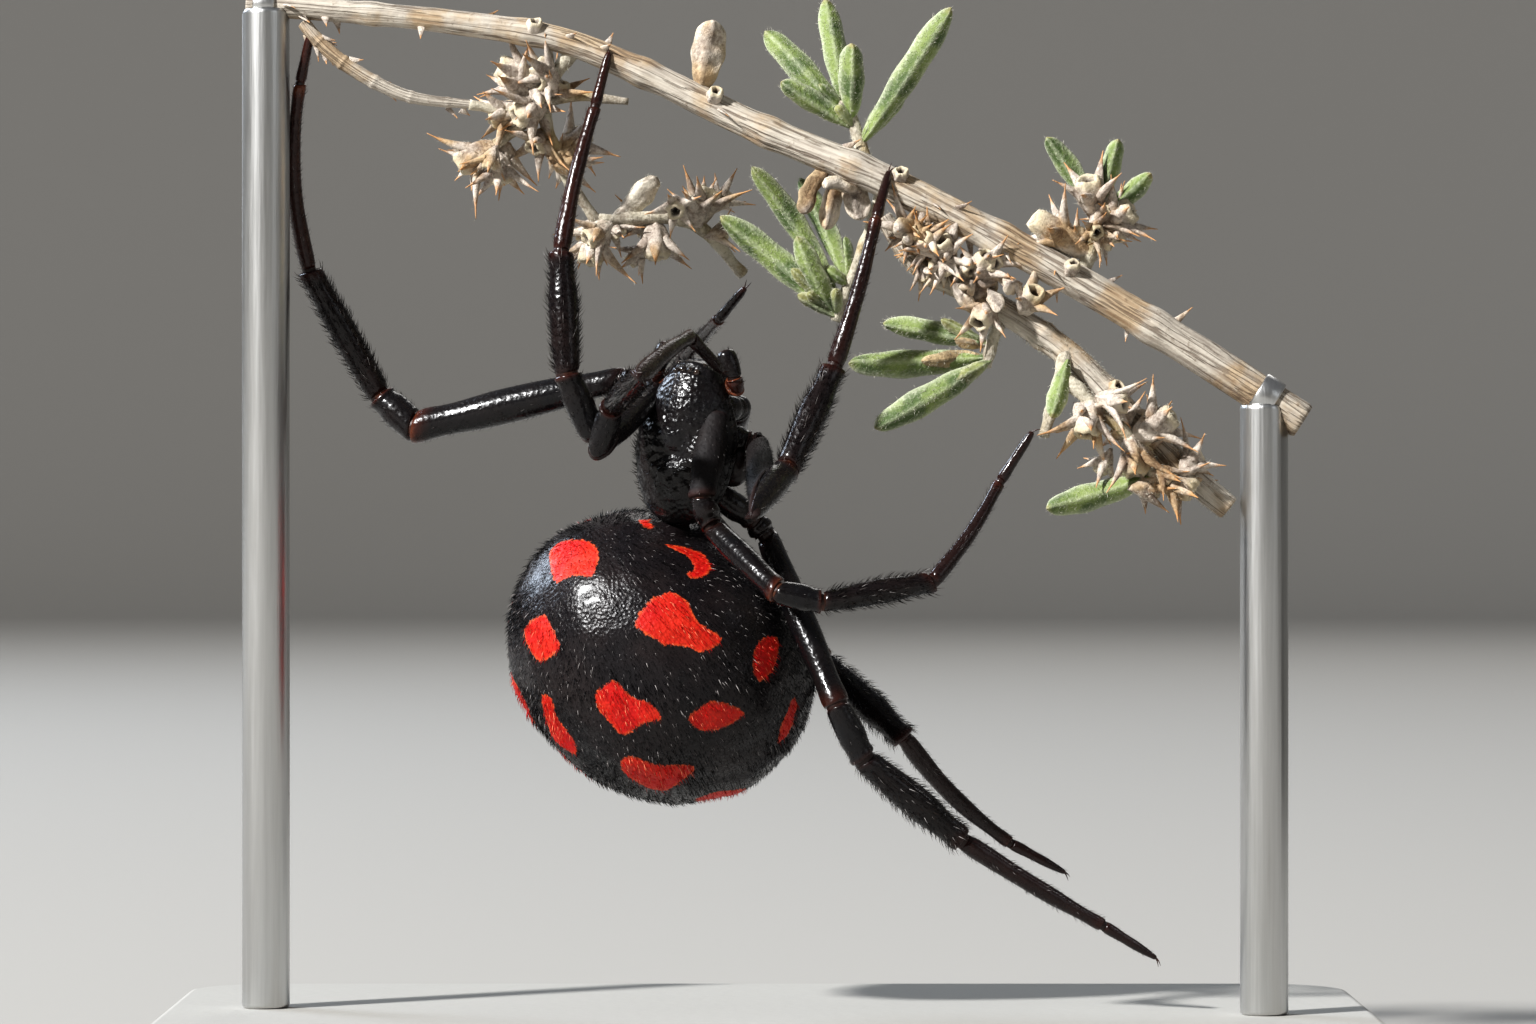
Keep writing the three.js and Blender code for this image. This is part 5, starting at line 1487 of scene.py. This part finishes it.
draw = np.random.default_rng(71)
scraps = Skin(cells=16)
for foot, mouth in STEM_CUPS + SPRAY_CUPS:
    add_cup(scraps, foot, mouth, SCRAP_CUP_RADIUS, draw)
for foot, tip, half_width in STEM_LEAVES:
    add_leaf(scraps, foot, tip, half_width, draw, dry=1.0)
for foot, mouth in STEM_STUBS:
    add_cup(scraps, foot, mouth, STUB_RADIUS, draw, teeth=0)
stem_line, t = through(STEM_ROUTE, 400)
stem_thick = np.interp(t, np.linspace(0, 1, len(STEM_RADII)), STEM_RADII)
for _ in range(THORNS):
    k, way, out = bark_spot(stem_line, 12, 386)
    aim = unit(out + way * draw.uniform(0.1, 0.9))
    add_spike(scraps, stem_line[k] + out * stem_thick[k] * 0.85, aim, np.cross(way, out),
              draw.uniform(0.35, 0.75), draw.uniform(0.08, 0.15), draw.uniform(-0.3, 0.3))
tangle_line, t = through(TANGLE_ROUTE, 60)
for k in range(TANGLE_CUPS + TANGLE_LEAVES):
    foot = tangle_line[int(draw.integers(2, 58))] + draw.normal(size=3) * (0.25, 0.15, 0.25)
    aim = unit(draw.normal(size=3) * (1, 0.7, 0.8) + (-0.3, -0.9, -0.3))
    if k < TANGLE_CUPS:
        add_cup(scraps, foot, foot + aim * draw.uniform(0.45, 0.85), draw.uniform(0.2, 0.34), draw)
    else:
        tip = foot + aim * draw.uniform(0.7, 1.5)
        add_leaf(scraps, foot, tip, draw.uniform(0.16, 0.32), draw, dry=1.0)
add_stalk(scraps, TWIG_END, TWIG_END_RADIUS)
twig_line, t = through(LEFT_TWIG_ROUTE, 200)
for _ in range(TWIG_SCALES):
    k, way, out = bark_spot(twig_line, 20, 190)
    aim = unit(out * draw.uniform(0.4, 1) + way)
    add_spike(scraps, twig_line[k] + out * TWIG_END_RADIUS, aim, np.cross(way, out),
              draw.uniform(0.2, 0.5), draw.uniform(0.08, 0.16), draw.uniform(-0.3, 0.3))
scraps_piece = scraps.build("stem_scraps", growth_finish)
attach(scraps_piece, "root")

felt_finish, wire, end = new_material("felt")
tone = mark(wire, "tone")
finish_surface(wire, end, {"Base Color": tone.tint(FELT_GREY, FELT_PALE), "Roughness": 0.5 + 0.2 * tone})
for order, (name, piece) in enumerate(growth_pieces.items()):
    slot, density = ("leaf", 62) if "leaves" in name else ("dry_bract", 36)
    grow(name + "_felt", piece, fine, felt_finish,
         density=density, length=0.14, stand=0.55, scatter=0.5, seed=50 + order)
grow("lower_branch_felt", bark_pieces["perch_branch_lower"], fine, felt_finish,
     density=60, length=0.16, stand=0.5, scatter=0.6, seed=60)

# Stand
# A flat steel base with rounded corners, painted off-white, and two brushed steel rods. Each
# rod ends in a shallow cradle under the twig, where a thin steel band holds it.

BASE_SIZE = (38, 24, 2.4)
BASE_CORNER = 3
BASE_BEVEL = 0.3
ROD_RADIUS = 0.75
ROD_PLACES = {"left": (-15.8, 1.4), "right": (15.4, -1.35)}
ROD_FOOT_GAP = 0.01
BAND_HALF_WIDTH = 0.34
BAND_THICKNESS = 0.08
PAINT = ((0.35, 0.342, 0.322, 1), (0.39, 0.382, 0.358, 1))
STEEL = ((0.5, 0.5, 0.49, 1), (0.66, 0.66, 0.65, 1))
# A rod from foot to top: parts of its radius, with heights over its foot or from its shoulder.
ROD_FOOT = ((0.9, 0), (0.97, 0.04), (1.0, 0.12))
ROD_SHOULDER = ((1.0, -0.16), (0.985, -0.05), (0.93, 0), (0.8, 0), (0.65, 0), (0.5, 0), (0.35, 0),
                (0.18, 0))


def base_outline(inset, per_corner=14):
    """Points round the base's rounded outline, drawn in by an inset."""
    x, y = BASE_SIZE[0] / 2 - BASE_CORNER, BASE_SIZE[1] / 2 - BASE_CORNER
    reach = BASE_CORNER - inset
    points = []
    for centre, first in (((x, -y), -90), ((x, y), 0), ((-x, y), 90), ((-x, -y), 180)):
        for step in range(per_corner):
            angle = math.radians(first + 90 * step / (per_corner - 1))
            points.append((centre[0] + reach * math.cos(angle), centre[1] + reach * math.sin(angle)))
    return points


# How far the base's edge is drawn in, in bevels, on its way up, below its side and above it.
base_levels = [(BASE_BEVEL * inset, BASE_BEVEL * height) for inset, height in ((1, 0), (0.3, 0.3), (0, 1))]
base_levels += [(BASE_BEVEL * inset, BASE_SIZE[2] - BASE_BEVEL * depth)
                for inset, depth in ((0, 1), (0.08, 0.6), (0.3, 0.3), (0.6, 0.08), (1, 0))]
paint_finish, wire, end = new_material("stand_paint")
place = place_in(wire)
peel = noise(wire, place, 2200.0, 2.0)
shade = noise(wire, place, 90.0, 3.0)
finish_surface(wire, end, {"Base Color": shade.tint(*PAINT), "Roughness": 0.68 + 0.1 * peel,
                           "Specular IOR Level": 0.08}, bump=peel, depth=0.00002)
rows = np.array([[(x, y, height) for x, y in base_outline(inset)] for inset, height in base_levels])
base = Skin()
base.sheet(rows)
base_piece = base.build("base", paint_finish)
for polygon in base_piece.data.polygons:
    polygon.use_smooth = abs(polygon.normal.z) < 0.999
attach(base_piece, "root")
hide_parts("stand_base")

steel_finish, wire, end = new_material("stand_steel")
place = place_in(wire)
brushed = wire.node("ShaderNodeMapping", values={"Vector": place, "Scale": (1.0, 1.0, 0.03)})
lines = noise(wire, brushed, 9000.0, 3.0, 0.6)
finish_surface(wire, end, {"Base Color": lines.tint(*STEEL), "Metallic": 1.0,
                           "Roughness": 0.26 + 0.14 * lines}, bump=lines, depth=0.00001)


def band_rows(centre, way, radius):
    """A thin strip bent round the twig, its two ends hidden under it."""
    down = unit(way * way[2] - np.array([0, 0, 1]))
    beside = np.cross(way, down)
    rows = []
    for angle in np.linspace(0.02, 2 * math.pi - 0.02, 80):
        out = math.cos(angle) * down + math.sin(angle) * beside
        rows.append([centre + out * (radius + BAND_THICKNESS * lift) + way * BAND_HALF_WIDTH * along
                     for along, lift in ((-1, 0), (-1, 0.6), (-0.85, 1), (0.85, 1), (1, 0.6), (1, 0))])
    return np.array(rows)


for side, (x, y) in ROD_PLACES.items():
    near = int(np.argmin(np.abs(stem_line[:, 0] - x)))
    stem, thick = stem_line[near], stem_thick[near]
    way = unit(stem_line[near + 3] - stem_line[near - 3])
    turn = full_turn(64)
    foot = BASE_SIZE[2] + ROD_FOOT_GAP
    shoulder = stem[2] - thick * 0.35
    levels = [(reach, foot + rise) for reach, rise in ROD_FOOT]
    levels += [(reach, shoulder + rise) for reach, rise in ROD_SHOULDER]
    rows = []
    for reach, height in levels:
        right, back = ROD_RADIUS * reach * np.cos(turn), ROD_RADIUS * reach * np.sin(turn)
        aside = back + y - stem[1]
        under = stem[2] + way[2] / way[0] * right - np.sqrt(np.clip(thick ** 2 - aside ** 2, 0, None))
        high = np.where(np.abs(aside) < thick, np.minimum(height, under), height)
        rows.append(np.stack([x + right, y + back, high], -1))
    rod = Skin(cells=2)
    rod.sheet(np.array(rows))
    rod.sheet(band_rows(stem, way, thick * 1.02))
    rod_piece = rod.build("rod_" + side, steel_finish)
    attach(rod_piece, "root")
    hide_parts("stand_rod_" + side)
